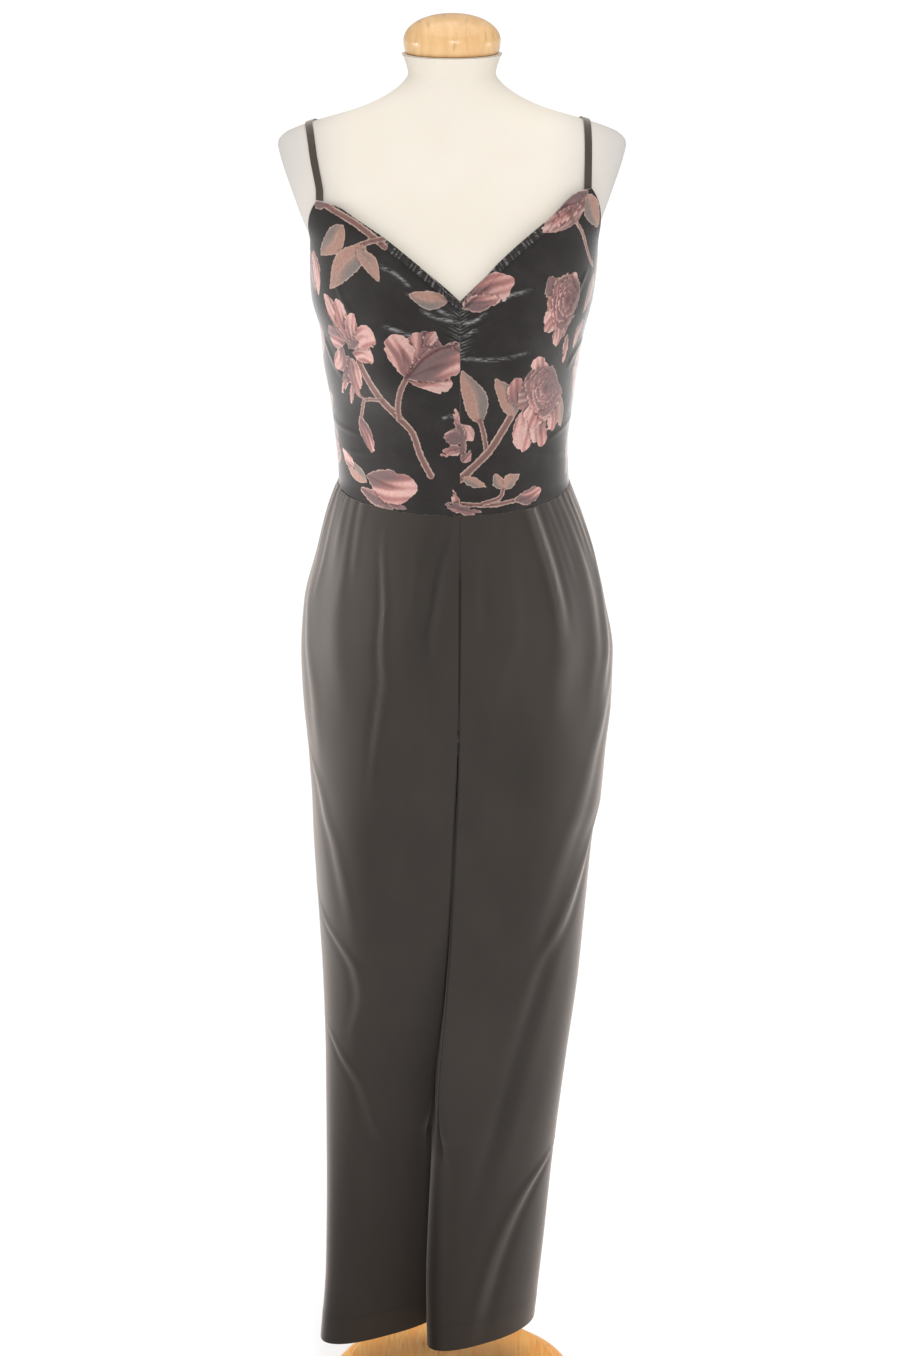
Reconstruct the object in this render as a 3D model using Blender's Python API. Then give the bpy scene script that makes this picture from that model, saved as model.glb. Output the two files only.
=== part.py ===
"""A strappy jumpsuit worn by a limbless dress form that stands on a round wooden base.

Metres, +Z up.  The origin is the centre of the base's underside.  The garment's front faces -Y, and +X is the
wearer's left.  A place on the figure is an angle round it (0 at the centre front, 90 degrees at the wearer's
left side, 180 at the centre back, negative on the wearer's right) and a height.  Every cloth panel is a wall
between its outer face, a surface worked out from the sections below, and the same face moved in by the wall.
"""

import math

import bmesh
import bpy
import numpy as np

# --- driving sizes ---------------------------------------------------------------------------------------------
SEAM = 0.0003            # gap between pieces that are sewn together
CLOTH = 0.0012           # wall of the trousers' crepe
VELVET = 0.0014          # wall of the bodice's velvet
BASE_RADIUS = 0.150
BASE_HEIGHT = 0.025
POLE_RADIUS = 0.011
NECK_TOP = 1.644
CAP_RADIUS = 0.0545
CAP_TOP = 1.688
CAP_EDGE = 0.010         # the cap's straight edge, under its dome
FORM_FLOOR = 0.866       # underside of the form
WAIST = 1.157            # waist seam at the sides
WAIST_DIP = 0.020        # how much lower the seam is at the centre front
FRONT_X = 0.009          # the garment's centre front lies a little to the wearer's left
V_POINT = 1.382          # foot of the V neck
UNDERARM = 1.353
BACK_TOP = 1.362         # top edge of the back, between the straps
FORK_TOP = 0.890         # where the centre-front seam starts to turn under
FORK = 0.828             # crotch point
THIGH_TOP = 0.965        # away from the inner edge, the hip's round section turns into two legs from here
THIGH_FOOT = 0.710       # down to here
THIGH_SHARE = 0.12       # and this far across a quarter the inner edge's own curve has no part in it
HEM = 0.080
BUST_OUT = 0.022
BUST_X = 0.078
BUST_SPREAD = 0.050
BUST_Z = 1.312
BUST_ABOVE = 0.066
BUST_BELOW = 0.050
BAND = 0.009             # casing along the V neck
BAND_PUCKERS = 16
BAND_CLEAR = 0.0009      # between the front and its casing, so that the puckers clear the front's flats
PUCKER = 0.0007
STRAP_WIDTH = 0.008
STRAP_WALL = 0.0012
STRAP_CLEAR = 0.0010     # between the strap and the form
STRAP_HUB = 1.500        # height of the point inside the form that the strap's path turns round
STRAP_STAND = 0.0035     # the bodice stands this far off the form, and each strap end rises to meet it there
STRAP_RISE = 0.13        # over this share of its length
FORM_SIDES = 32
POLE_SIDES = 24
BASE_SIDES = 56
BASE_TIER = 0.024        # width of the base's lower tier
UNDERARM_SHARE = 0.58    # of a front's outer edge, the side seam's part
FORK_V = 0.68            # the fork's share of the way from hem to waist
INNER_EASE = 0.62        # below 1, a leg's face towards the other leg takes a smaller share of a quarter
INNER_SHARES = (0.0, 0.030, 0.081, 0.107, 0.135, 0.220, 0.330)   # a quarter's divisions round that corner
SIDE_PARTS = 4           # divisions of a quarter beside its side seam
LEG_ROWS = 12
TURN_ROWS = 5            # rows where the centre seams turn under
HIP_ROWS = 5
GATHER_ROWS = 3
GATHER_V = 0.93          # the gathers' rows start here
QUARTER_WIDTH = 0.26     # a trouser quarter, from its inner edge to the side seam
BODICE_RADIUS = 0.090    # smallest radius of the figure at a bodice seam, to turn a gap into an angle
LEG_RADIUS = 0.097       # shortest length for a whole share across a quarter, to turn a gap into a share
QUARTER_TURN = math.pi / 2


# --- short tables and curves ------------------------------------------------------------------------------------
def table(columns, *rows):
    """A short table with named columns."""
    return dict(zip(columns.split(), np.array(rows, float).T))


def read(rows, column, at, key="z"):
    """A column's value at any place along the key column, on a smooth curve that never overshoots its rows."""
    xs, ys = rows[key], rows[column]
    at = np.clip(np.asarray(at, float), xs[0], xs[-1])
    steps = np.diff(xs)
    slopes = np.diff(ys) / steps
    product, total = slopes[1:] * slopes[:-1], slopes[1:] + slopes[:-1]
    inner = np.where(product > 0, 2 * product / np.where(total == 0, 1, total), 0.0)
    tangents = np.concatenate([slopes[:1], inner, slopes[-1:]])
    i = np.clip(np.searchsorted(xs, at, side="right") - 1, 0, len(steps) - 1)
    t = (at - xs[i]) / steps[i]
    return ((1 + 2 * t) * (1 - t) ** 2 * ys[i] + t * (1 - t) ** 2 * steps[i] * tangents[i]
            + t * t * (3 - 2 * t) * ys[i + 1] - t * t * (1 - t) * steps[i] * tangents[i + 1])


def smooth(share):
    """0 to 1 with a soft start and end."""
    share = np.clip(share, 0, 1)
    return share * share * (3 - 2 * share)


def bell(distance, width):
    return np.exp(-(distance / width) ** 2)


def wave(turns):
    """0 to 1 and back once a turn."""
    return 0.5 - 0.5 * np.cos(math.tau * turns)


# The form: half its width, its depth before and behind the pole's axis, and how square each section is.
FORM = table(
    "z half_width front back power",
    (0.866, 0.130, 0.080, 0.090, 2.3),
    (0.872, 0.142, 0.091, 0.101, 2.3),
    (0.888, 0.152, 0.099, 0.111, 2.3),
    (0.950, 0.163, 0.106, 0.121, 2.3),
    (1.030, 0.156, 0.104, 0.114, 2.2),
    (1.100, 0.138, 0.098, 0.094, 2.2),
    (1.157, 0.126, 0.091, 0.081, 2.2),
    (1.210, 0.128, 0.093, 0.082, 2.2),
    (1.260, 0.134, 0.101, 0.086, 2.2),
    (1.310, 0.141, 0.110, 0.092, 2.2),
    (1.360, 0.147, 0.108, 0.098, 2.3),
    (1.410, 0.153, 0.099, 0.103, 2.4),
    (1.437, 0.160, 0.092, 0.104, 2.6),
    (1.462, 0.170, 0.085, 0.103, 2.8),
    (1.502, 0.184, 0.073, 0.097, 3.1),
    (1.530, 0.193, 0.064, 0.088, 3.0),
    (1.545, 0.196, 0.059, 0.081, 2.7),
    (1.554, 0.190, 0.056, 0.076, 2.4),
    (1.563, 0.171, 0.054, 0.071, 2.2),
    (1.572, 0.142, 0.052, 0.067, 2.1),
    (1.582, 0.108, 0.050, 0.062, 2.0),
    (1.591, 0.086, 0.049, 0.058, 2.0),
    (1.600, 0.070, 0.048, 0.055, 2.0),
    (1.610, 0.057, 0.047, 0.052, 2.0),
    (1.622, 0.049, 0.046, 0.050, 2.0),
    (1.634, 0.052, 0.051, 0.052, 2.0),
    (1.644, 0.055, 0.055, 0.055, 2.0),
)

# The garment's outer face above the fork, bodice and trousers alike.
GARMENT = table(
    "z right left front back power",
    (0.690, 0.163, 0.165, 0.092, 0.094, 2.6),
    (0.760, 0.166, 0.175, 0.102, 0.107, 2.6),
    (0.828, 0.169, 0.181, 0.112, 0.122, 2.5),
    (0.889, 0.175, 0.188, 0.117, 0.129, 2.4),
    (0.950, 0.177, 0.189, 0.118, 0.132, 2.3),
    (1.011, 0.173, 0.179, 0.116, 0.127, 2.2),
    (1.071, 0.158, 0.165, 0.111, 0.112, 2.2),
    (1.119, 0.146, 0.150, 0.105, 0.098, 2.2),
    (1.145, 0.137, 0.140, 0.100, 0.090, 2.2),
    (1.160, 0.131, 0.135, 0.097, 0.087, 2.2),
    (1.202, 0.134, 0.134, 0.099, 0.088, 2.2),
    (1.249, 0.139, 0.139, 0.106, 0.091, 2.2),
    (1.296, 0.147, 0.145, 0.115, 0.096, 2.2),
    (1.331, 0.150, 0.151, 0.117, 0.101, 2.2),
    (1.371, 0.160, 0.161, 0.113, 0.106, 2.3),
    (1.411, 0.163, 0.166, 0.106, 0.109, 2.4),
    (1.437, 0.166, 0.169, 0.100, 0.110, 2.6),
    (1.462, 0.176, 0.177, 0.093, 0.109, 2.8),
    (1.502, 0.190, 0.191, 0.081, 0.103, 3.1),
)

# The V neck: how far from the centre front, and how high, on each side.
NECKLINE = table(
    "share right_x right_z left_x left_z",
    (0.00, 0.000, 1.382, 0.000, 1.382),
    (0.22, 0.029, 1.408, 0.026, 1.408),
    (0.40, 0.055, 1.429, 0.047, 1.429),
    (0.60, 0.084, 1.451, 0.073, 1.451),
    (0.80, 0.114, 1.470, 0.101, 1.473),
    (0.93, 0.138, 1.484, 0.131, 1.499),
    (1.00, 0.160, 1.488, 0.147, 1.502),
)

# The armhole: angle from the centre front and height, from the underarm up to the strap.
ARMHOLE = table(
    "share angle right_z left_z",
    (0.00, 90.0, 1.353, 1.353),
    (0.22, 87.0, 1.371, 1.372),
    (0.45, 80.0, 1.402, 1.406),
    (0.75, 68.5, 1.446, 1.456),
    (1.00, 58.0, 1.488, 1.502),
)

# The legs' sections below the fork: the outline's outer edges, how far the left leg laps in front of the right
# (apart, below zero), the depth before and behind a leg's own centre, how far the section slants in plan (degrees,
# its wearer's-left end back), each centre's y, and how square it is towards the other leg and outside.
LEGS = table(
    "z right_outer left_outer lap front back slant right_y left_y inner_power outer_power",
    (0.080, -0.162, 0.103, 0.0100, 0.050, 0.060, 30.0, 0.013, -0.009, 2.5, 2.3),
    (0.178, -0.155, 0.113, 0.0080, 0.051, 0.059, 26.0, 0.012, -0.009, 2.5, 2.3),
    (0.313, -0.153, 0.125, 0.0030, 0.056, 0.060, 20.0, 0.010, -0.009, 2.7, 2.3),
    (0.445, -0.153, 0.140, -0.0004, 0.062, 0.063, 13.0, 0.008, -0.009, 3.6, 2.3),
    (0.542, -0.155, 0.152, -0.0014, 0.072, 0.073, 8.0, 0.004, -0.006, 6.0, 2.3),
    (0.638, -0.160, 0.160, -0.0016, 0.085, 0.085, 2.0, 0.000, 0.000, 9.0, 2.3),
    (0.733, -0.165, 0.168, -0.0008, 0.098, 0.101, 0.0, 0.000, 0.000, 12.0, 2.4),
    (0.778, -0.166, 0.177, -0.0008, 0.104, 0.110, 0.0, 0.000, 0.000, 12.0, 2.4),
    (0.828, -0.169, 0.181, -0.0008, 0.111, 0.121, 0.0, 0.000, 0.000, 12.0, 2.5),
    (0.965, -0.177, 0.189, -0.0008, 0.118, 0.132, 0.0, 0.000, 0.000, 12.0, 2.5),
)

# Where the two halves of the trousers part: x beside the pole, and x at the front and back faces.
PARTING = table(
    "z inside faces",
    (0.080, -0.021, -0.021),
    (0.178, -0.024, -0.024),
    (0.313, -0.023, -0.022),
    (0.445, -0.026, -0.016),
    (0.542, -0.023, -0.008),
    (0.638, -0.019, -0.002),
    (0.733, -0.016, 0.002),
    (0.828, -0.016, 0.006),
    (0.915, -0.016, 0.008),
    (1.030, 0.009, 0.009),
)
PARTING_WIDTH = 0.060    # how far to each side the parting's bend reaches

# Gathers at the waist seam: from and to as shares across a quarter, how many, how far they stand out, how long.
GATHERS = {
    ("front", "right"): (0.44, 0.80, 6, 0.0026, 0.045),
    ("front", "left"): (0.42, 0.78, 6, 0.0026, 0.045),
    ("back", "right"): (0.28, 0.66, 6, 0.0026, 0.045),
    ("back", "left"): (0.28, 0.66, 6, 0.0026, 0.045),
}

# The trousers' largest folds: quarter, share across from the inner edge to the side seam at the fold's upper and
# lower end, the heights of these ends, the fold's half width, and how far it stands out (or in, below zero).
FOLDS = (
    ("front", "right", 0.10, 1.125, 0.16, 0.930, 0.012, 0.0050),
    ("front", "right", 0.44, 1.105, 0.46, 0.820, 0.010, 0.0026),
    ("front", "right", 0.96, 0.860, 0.72, 0.590, 0.011, -0.0042),
    ("front", "right", 0.90, 0.700, 0.60, 0.520, 0.010, -0.0036),
    ("front", "right", 0.92, 0.500, 0.55, 0.330, 0.010, -0.0036),
    ("front", "left", 0.20, 1.090, 0.22, 0.930, 0.010, 0.0030),
    ("front", "left", 0.62, 1.130, 0.78, 0.900, 0.013, 0.0040),
    ("front", "left", 0.78, 0.860, 0.42, 0.560, 0.016, 0.0050),
    ("front", "left", 0.86, 0.700, 0.38, 0.330, 0.012, -0.0046),
    ("front", "left", 0.84, 0.380, 0.45, 0.170, 0.014, 0.0046),
    ("back", "right", 0.30, 1.110, 0.34, 0.860, 0.012, 0.0038),
    ("back", "right", 0.90, 0.800, 0.52, 0.480, 0.014, -0.0040),
    ("back", "right", 0.34, 0.640, 0.44, 0.250, 0.014, 0.0042),
    ("back", "left", 0.34, 1.110, 0.36, 0.850, 0.012, 0.0038),
    ("back", "left", 0.40, 0.780, 0.62, 0.420, 0.014, -0.0040),
    ("back", "left", 0.50, 0.500, 0.36, 0.180, 0.014, 0.0042),
)

# Ruching at the top of the bodice's centre-front seam.
RUCHE_FOOT = 0.72        # share of the way from the waist to the V point
RUCHE_FOLDS = 5
RUCHE_OUT = 0.0026
RUCHE_REACH = 0.22       # share of the panel's width

# Where the strap runs: angle round its hub from straight forward, over the top, to the back, and x.
STRAPS = table(
    "turn right_x left_x",
    (0.0, 0.1475, 0.1515),
    (45.0, 0.156, 0.152),
    (90.0, 0.161, 0.151),
    (140.0, 0.148, 0.142),
    (180.0, 0.122, 0.120),
    (235.0, 0.092, 0.092),
)
STRAP_START = {"right": -9.9, "left": 1.3}
STRAP_END = 239.2

SIDES = {"right": -1, "left": 1}


# --- the figure and the garment as surfaces -----------------------------------------------------------------------
def ring(angle, power):
    """Across and forward shares of a rounded section at an angle from straight forward (radians)."""
    s, c = np.sin(angle), np.cos(angle)
    reach = (np.abs(s) ** power + np.abs(c) ** power) ** (-1 / power)
    return s * reach, c * reach


def bust(x, forward, z):
    """How far the front stands out at the bust."""
    height = np.where(z > BUST_Z, BUST_ABOVE, BUST_BELOW)
    front = np.clip(forward, 0, 1) ** 0.5
    return BUST_OUT * front * bell(np.abs(x) - BUST_X, BUST_SPREAD) * bell(z - BUST_Z, height)


def form_point(angle, z):
    across, forward = ring(angle, read(FORM, "power", z))
    x = read(FORM, "half_width", z) * across
    depth = np.where(forward > 0, read(FORM, "front", z), read(FORM, "back", z))
    return np.stack([x, -depth * forward - bust(x, forward, z), z + 0 * angle], -1)


def worn_point(angle, z):
    """The garment's smooth outer face above the fork."""
    across, forward = ring(angle, read(GARMENT, "power", z))
    edge = np.where(across > 0, read(GARMENT, "left", z), -read(GARMENT, "right", z))
    above = smooth((z - FORK_TOP) / (PARTING["z"][-1] - FORK_TOP))
    middle = read(PARTING, "inside", z) - above * FRONT_X * (1 - forward) / 2
    x = middle + (edge - middle) * np.abs(across)
    depth = np.where(forward > 0, read(GARMENT, "front", z), read(GARMENT, "back", z))
    return np.stack([x, -depth * forward - bust(x, forward, z), z + 0 * angle], -1)


def waist_at(angle):
    """Height of the waist seam, which dips at the centre front."""
    return WAIST - WAIST_DIP * np.clip(np.cos(angle), 0, 1) ** 1.3


def angle_at(x, z, side):
    """The angle at which the garment's front is x away from the centre front, at height z."""
    edge = read(GARMENT, side, z)
    share = np.clip(x / (edge - SIDES[side] * FRONT_X), 0, 0.999) ** read(GARMENT, "power", z)
    return np.arctan((share / (1 - share)) ** (1 / read(GARMENT, "power", z)))


def normals(surface, u, v, small=1e-4):
    """Unit normals of a surface, pointing away from the wearer."""
    along_u = surface(u + small, v) - surface(u - small, v)
    along_v = surface(u, v + small) - surface(u, v - small)
    out = np.cross(along_u, along_v)
    out /= np.linalg.norm(out, axis=-1, keepdims=True) + 1e-12
    return out


def raised(surface, lift, outward):
    """The surface moved out, level, along its normals by lift(u, v)."""
    level = np.array((1.0, 1.0, 0.0))
    return lambda u, v: surface(u, v) + outward * level * normals(surface, u, v) * lift(u, v)[..., None]


# --- meshes -------------------------------------------------------------------------------------------------------
def finish(name, bm, material, collection):
    """The closed mesh as a named object, its faces pointing out."""
    bmesh.ops.recalc_face_normals(bm, faces=bm.faces[:])
    if bm.calc_volume(signed=True) < 0:
        bmesh.ops.reverse_faces(bm, faces=bm.faces[:])
    mesh = bpy.data.meshes.new(name)
    bm.to_mesh(mesh)
    bm.free()
    mesh.materials.append(material)
    mesh.shade_smooth()
    mesh.set_sharp_from_angle(angle=math.radians(30))
    collection.objects.link(bpy.data.objects.new(name, mesh))


def wall(name, surface, across, along, thickness, outward, material, collection):
    """A closed wall: its outer face is surface(u, v) at the given shares, its inner face is moved in along the
    normals.  outward is +1 or -1, whichever makes the surface's normals point away from the wearer."""
    across, along = np.array(across), np.array(along)
    bm = bmesh.new()
    bmesh.ops.create_grid(bm, x_segments=len(across) - 1, y_segments=len(along) - 1, size=0.5)
    inner = [e for e in bmesh.ops.extrude_face_region(bm, geom=bm.faces[:])["geom"]
             if isinstance(e, bmesh.types.BMVert)]
    moved = set(inner)
    for layer, depth in (([v for v in bm.verts if v not in moved], 0.0), (inner, thickness)):
        u = across[[round((v.co.x + 0.5) * (len(across) - 1)) for v in layer]]
        w = along[[round((v.co.y + 0.5) * (len(along) - 1)) for v in layer]]
        places = surface(u, w) - depth * outward * normals(surface, u, w)
        for vert, co in zip(layer, places):
            vert.co = co
    finish(name, bm, material, collection)


def turned(name, profile, sides, material, collection):
    """A solid of revolution about Z from (radius, height) points, run from the top down."""
    bm = bmesh.new()
    verts = [bm.verts.new((radius, 0, height)) for radius, height in profile]
    edges = [bm.edges.new(pair) for pair in zip(verts, verts[1:])]
    bmesh.ops.spin(bm, geom=verts + edges, cent=(0, 0, 0), axis=(0, 0, 1), angle=math.tau, steps=sides,
                   use_merge=True)
    bmesh.ops.remove_doubles(bm, verts=bm.verts[:], dist=1e-6)
    finish(name, bm, material, collection)


def material(name, colour, roughness):
    made = bpy.data.materials.new(name)
    made.use_nodes = True
    shader = made.node_tree.nodes["Principled BSDF"]
    shader.inputs["Base Color"].default_value = (*colour, 1)
    shader.inputs["Roughness"].default_value = roughness
    return made


# --- the dress form -----------------------------------------------------------------------------------------------
def build_torso(jersey, collection):
    """Body, shoulders and neck in one skin, lofted through the form's sections."""
    bm = bmesh.new()
    angles = np.arange(FORM_SIDES) * math.tau / FORM_SIDES
    rings = []
    for z in FORM["z"]:
        verts = [bm.verts.new(co) for co in form_point(angles, z)]
        rings.append([bm.edges.new((verts[i - 1], verts[i])) for i in range(FORM_SIDES)])
    for lower, upper in zip(rings, rings[1:]):
        bmesh.ops.bridge_loops(bm, edges=lower + upper)
    bmesh.ops.holes_fill(bm, edges=rings[0] + rings[-1], sides=0)
    finish("form_torso", bm, jersey, collection)


def build_stand(wood, collection):
    """Domed neck cap, pole, and the round base with its moulded edge."""
    dome_foot = NECK_TOP + SEAM
    shoulder = dome_foot + CAP_EDGE
    dome = [(CAP_RADIUS * math.cos(t), shoulder + (CAP_TOP - shoulder) * math.sin(t))
            for t in np.linspace(QUARTER_TURN, 0, 9)]
    dome[0] = (0.0, CAP_TOP)
    turned("form_neck_cap", dome + [(CAP_RADIUS, dome_foot), (0.0, dome_foot)], FORM_SIDES, wood, collection)

    pole_foot = BASE_HEIGHT + SEAM
    pole_top = FORM_FLOOR - SEAM
    turned("form_pole", [(0.0, pole_top), (POLE_RADIUS, pole_top), (POLE_RADIUS, pole_foot), (0.0, pole_foot)],
           POLE_SIDES, wood, collection)

    top_edge, lower_edge = 0.004, 0.016              # radii of the two rounded edges
    tier = BASE_RADIUS - BASE_TIER
    lip = 0.004
    lower_rise = 0.012
    edge = [(tier + top_edge * math.sin(t), BASE_HEIGHT - top_edge + top_edge * math.cos(t))
            for t in np.linspace(0, QUARTER_TURN, 3)]
    round_over = [(BASE_RADIUS - lower_edge + lower_edge * math.sin(t), lip + lower_rise * math.cos(t))
                  for t in np.linspace(0, QUARTER_TURN, 4)]
    turned("form_base", [(0.0, BASE_HEIGHT)] + edge + [(tier + top_edge, lip + lower_rise + SEAM)] + round_over
           + [(BASE_RADIUS, 0.0), (0.0, 0.0)], BASE_SIDES, wood, collection)


# --- the bodice ---------------------------------------------------------------------------------------------------
def patch(bottom, top, inner, outer):
    """Four edges, each a function of its share that gives (angle, height), filled to a surface on the figure."""
    def surface(u, v):
        low, high, near, far = bottom(u), top(u), inner(v), outer(v)
        corners = ((bottom(0.0), (1 - u) * (1 - v)), (bottom(1.0), u * (1 - v)),
                   (top(0.0), (1 - u) * v), (top(1.0), u * v))
        angle, z = [(1 - v) * low[k] + v * high[k] + (1 - u) * near[k] + u * far[k]
                    - sum(corner[k] * weight for corner, weight in corners) for k in (0, 1)]
        return worn_point(angle, z)
    return surface


def front_surface(side):
    """A bodice front: waist, centre-front seam, V neck, then side seam and armhole."""
    sign = SIDES[side]
    edge_gap = SEAM / 2 / BODICE_RADIUS      # as an angle
    foot = waist_at(0.0) + SEAM / 2

    def bottom(u):
        angle = QUARTER_TURN * u
        return sign * (edge_gap + (1 - 2 * edge_gap / QUARTER_TURN) * angle), waist_at(angle) + SEAM / 2

    def top(u):
        z = read(NECKLINE, side + "_z", u, "share")
        x = read(NECKLINE, side + "_x", u, "share")
        return sign * np.maximum(angle_at(x, z, side), edge_gap), z

    def inner(v):
        return sign * (edge_gap + 0 * v), foot + (V_POINT - foot) * v

    def outer(v):
        seam_z = WAIST + SEAM / 2 + (UNDERARM - WAIST - SEAM / 2) * v / UNDERARM_SHARE
        share = np.clip((v - UNDERARM_SHARE) / (1 - UNDERARM_SHARE), 0, 1)
        above = v > UNDERARM_SHARE
        angle = np.where(above, np.radians(read(ARMHOLE, "angle", share, "share")), QUARTER_TURN)
        last = angle_at(NECKLINE[side + "_x"][-1], NECKLINE[side + "_z"][-1], side)
        angle = np.where(above, angle + share ** 3 * (last - np.radians(ARMHOLE["angle"][-1])), angle)
        return sign * (angle - edge_gap), np.where(above, read(ARMHOLE, side + "_z", share, "share"), seam_z)

    def ruche(u, v):
        turns = (v - RUCHE_FOOT) / (1 - RUCHE_FOOT) * RUCHE_FOLDS
        return RUCHE_OUT * wave(turns) * bell(np.clip(u, 0, 1), RUCHE_REACH) * (v > RUCHE_FOOT)

    return raised(patch(bottom, top, inner, outer), ruche, sign)


def build_bodice(velvet, collection):
    across = np.concatenate([np.linspace(0, 0.30, 5), np.linspace(0.37, 0.93, 8), [1.0]])
    below = np.linspace(0, UNDERARM_SHARE, 6)
    ruched = RUCHE_FOOT + (1 - RUCHE_FOOT) * np.arange(2 * RUCHE_FOLDS + 1) / (2 * RUCHE_FOLDS)
    along = np.concatenate([below, [0.65], ruched])
    for side, sign in SIDES.items():
        front = front_surface(side)
        wall("bodice_front_" + side, front, across, along, VELVET, sign, velvet, collection)

        band_start, band_end = 0.015, 0.925      # shares along the neckline, from the V to the strap
        puckers = np.linspace(band_start, band_end, 2 * BAND_PUCKERS + 1)

        def band(u, v, front=front, sign=sign):
            """Casing on the front's upper edge: v runs from its lower edge to the neckline."""
            small = 0.03
            run = np.linalg.norm(front(u, 1.0 + 0 * u) - front(u, 1.0 - small + 0 * u), axis=-1) / small
            at = 1 - (1 - v) * BAND / run
            turns = BAND_PUCKERS * (u - band_start) / (band_end - band_start)
            lift = BAND_CLEAR + VELVET + PUCKER * wave(turns) * (0.4 + 0.6 * v)
            return front(u, at) + sign * normals(front, u, at) * lift[..., None]

        wall("neck_band_" + side, band, puckers, (0.0, 0.5, 1.0), VELVET, sign, velvet, collection)

    side_gap = SEAM / 2 / BODICE_RADIUS

    def back(u, v):
        angle = QUARTER_TURN + side_gap + (2 * QUARTER_TURN - 2 * side_gap) * u
        top = UNDERARM + (BACK_TOP - UNDERARM) * np.sin(math.pi * np.clip(u, 0, 1)) ** 2
        z = WAIST + SEAM / 2 + (top - WAIST - SEAM / 2) * v
        turned_angle = np.where(angle > math.pi, angle - math.tau, angle)
        return worn_point(turned_angle, z)

    wall("bodice_back", back, np.linspace(0, 1, 23), np.linspace(0, 1, 9), VELVET, 1, velvet, collection)


def form_reach(x, turn):
    """Distance from the strap's hub at x to the form's surface, looking at a turn from straight forward."""
    near, far = np.zeros_like(turn), np.full_like(turn, 2 * BASE_RADIUS)
    for _ in range(40):      # halvings
        middle = (near + far) / 2
        y, z = -middle * np.cos(turn), STRAP_HUB + middle * np.sin(turn)
        depth = np.where(y < 0, read(FORM, "front", z), read(FORM, "back", z))
        power = read(FORM, "power", z)
        width = read(FORM, "half_width", z)
        outside = (np.abs(x) / width) ** power + (np.abs(y) / depth) ** power > 1
        near, far = np.where(outside, near, middle), np.where(outside, middle, far)
    return near


def build_straps(crepe, collection):
    """Narrow straps from the top of each front over the shoulder to the top edge of the back."""
    for side, sign in SIDES.items():
        def strap(u, v, side=side, sign=sign):
            turn = np.radians(STRAP_START[side] + (STRAP_END - STRAP_START[side]) * v)
            x = read(STRAPS, side + "_x", np.degrees(turn), "turn") + (u - 0.5) * STRAP_WIDTH
            ends = np.clip(1 - v / STRAP_RISE, 0, 1) + np.clip((v - 1) / STRAP_RISE + 1, 0, 1)
            reach = form_reach(x, turn) + STRAP_CLEAR + STRAP_WALL + STRAP_STAND * smooth(ends)
            return np.stack([sign * x, -reach * np.cos(turn), STRAP_HUB + reach * np.sin(turn)], -1)
        wall("strap_" + side, strap, (0.0, 0.5, 1.0), np.linspace(0, 1, 31), STRAP_WALL, sign, crepe, collection)


# --- the trousers -------------------------------------------------------------------------------------------------
def leg_point(side, half, u, z):
    """A leg's section below the fork: u runs from the inner line (0) round the front or back to the side seam."""
    sign = SIDES[side]
    ahead = 1 if half == "front" else -1
    outer = read(LEGS, side + "_outer", z)
    meet = read(PARTING, "inside", z) - sign * read(LEGS, "lap", z)
    extent = np.abs(outer - meet) / 2
    angle = 2 * QUARTER_TURN * (0.5 - np.abs(u) ** INNER_EASE * np.sign(u))
    power = np.where(angle > 0, read(LEGS, "inner_power", z), read(LEGS, "outer_power", z))
    inward, forward = ring(angle, power)
    dx = -sign * inward * extent
    dy = dx * np.tan(np.radians(read(LEGS, "slant", z))) - ahead * forward * read(LEGS, half, z)
    return np.stack([(outer + meet) / 2 + dx, read(LEGS, side + "_y", z) + dy, z + 0 * u], -1)


def fold_lift(side, half, u, z):
    """How far the folds and gathers of one quarter stand out."""
    lift = 0.0 * u
    for fold_half, fold_side, top_u, top_z, low_u, low_z, width, out in FOLDS:
        if (fold_half, fold_side) != (half, side):
            continue
        share = (top_z - z) / (top_z - low_z)
        middle = top_u + (low_u - top_u) * smooth(share)
        fade = smooth((share + 0.12) / 0.35) * smooth((1.15 - share) / 0.40)
        lift = lift + out * bell((u - middle) * QUARTER_WIDTH, width) * fade
    start, stop, count, out, length = GATHERS[half, side]
    turns = (u - start) / (stop - start) * count
    inside = (turns > 0) & (turns < count)
    return lift + out * wave(turns) * inside * bell(np.clip(WAIST - z, 0, 1), length)


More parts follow.
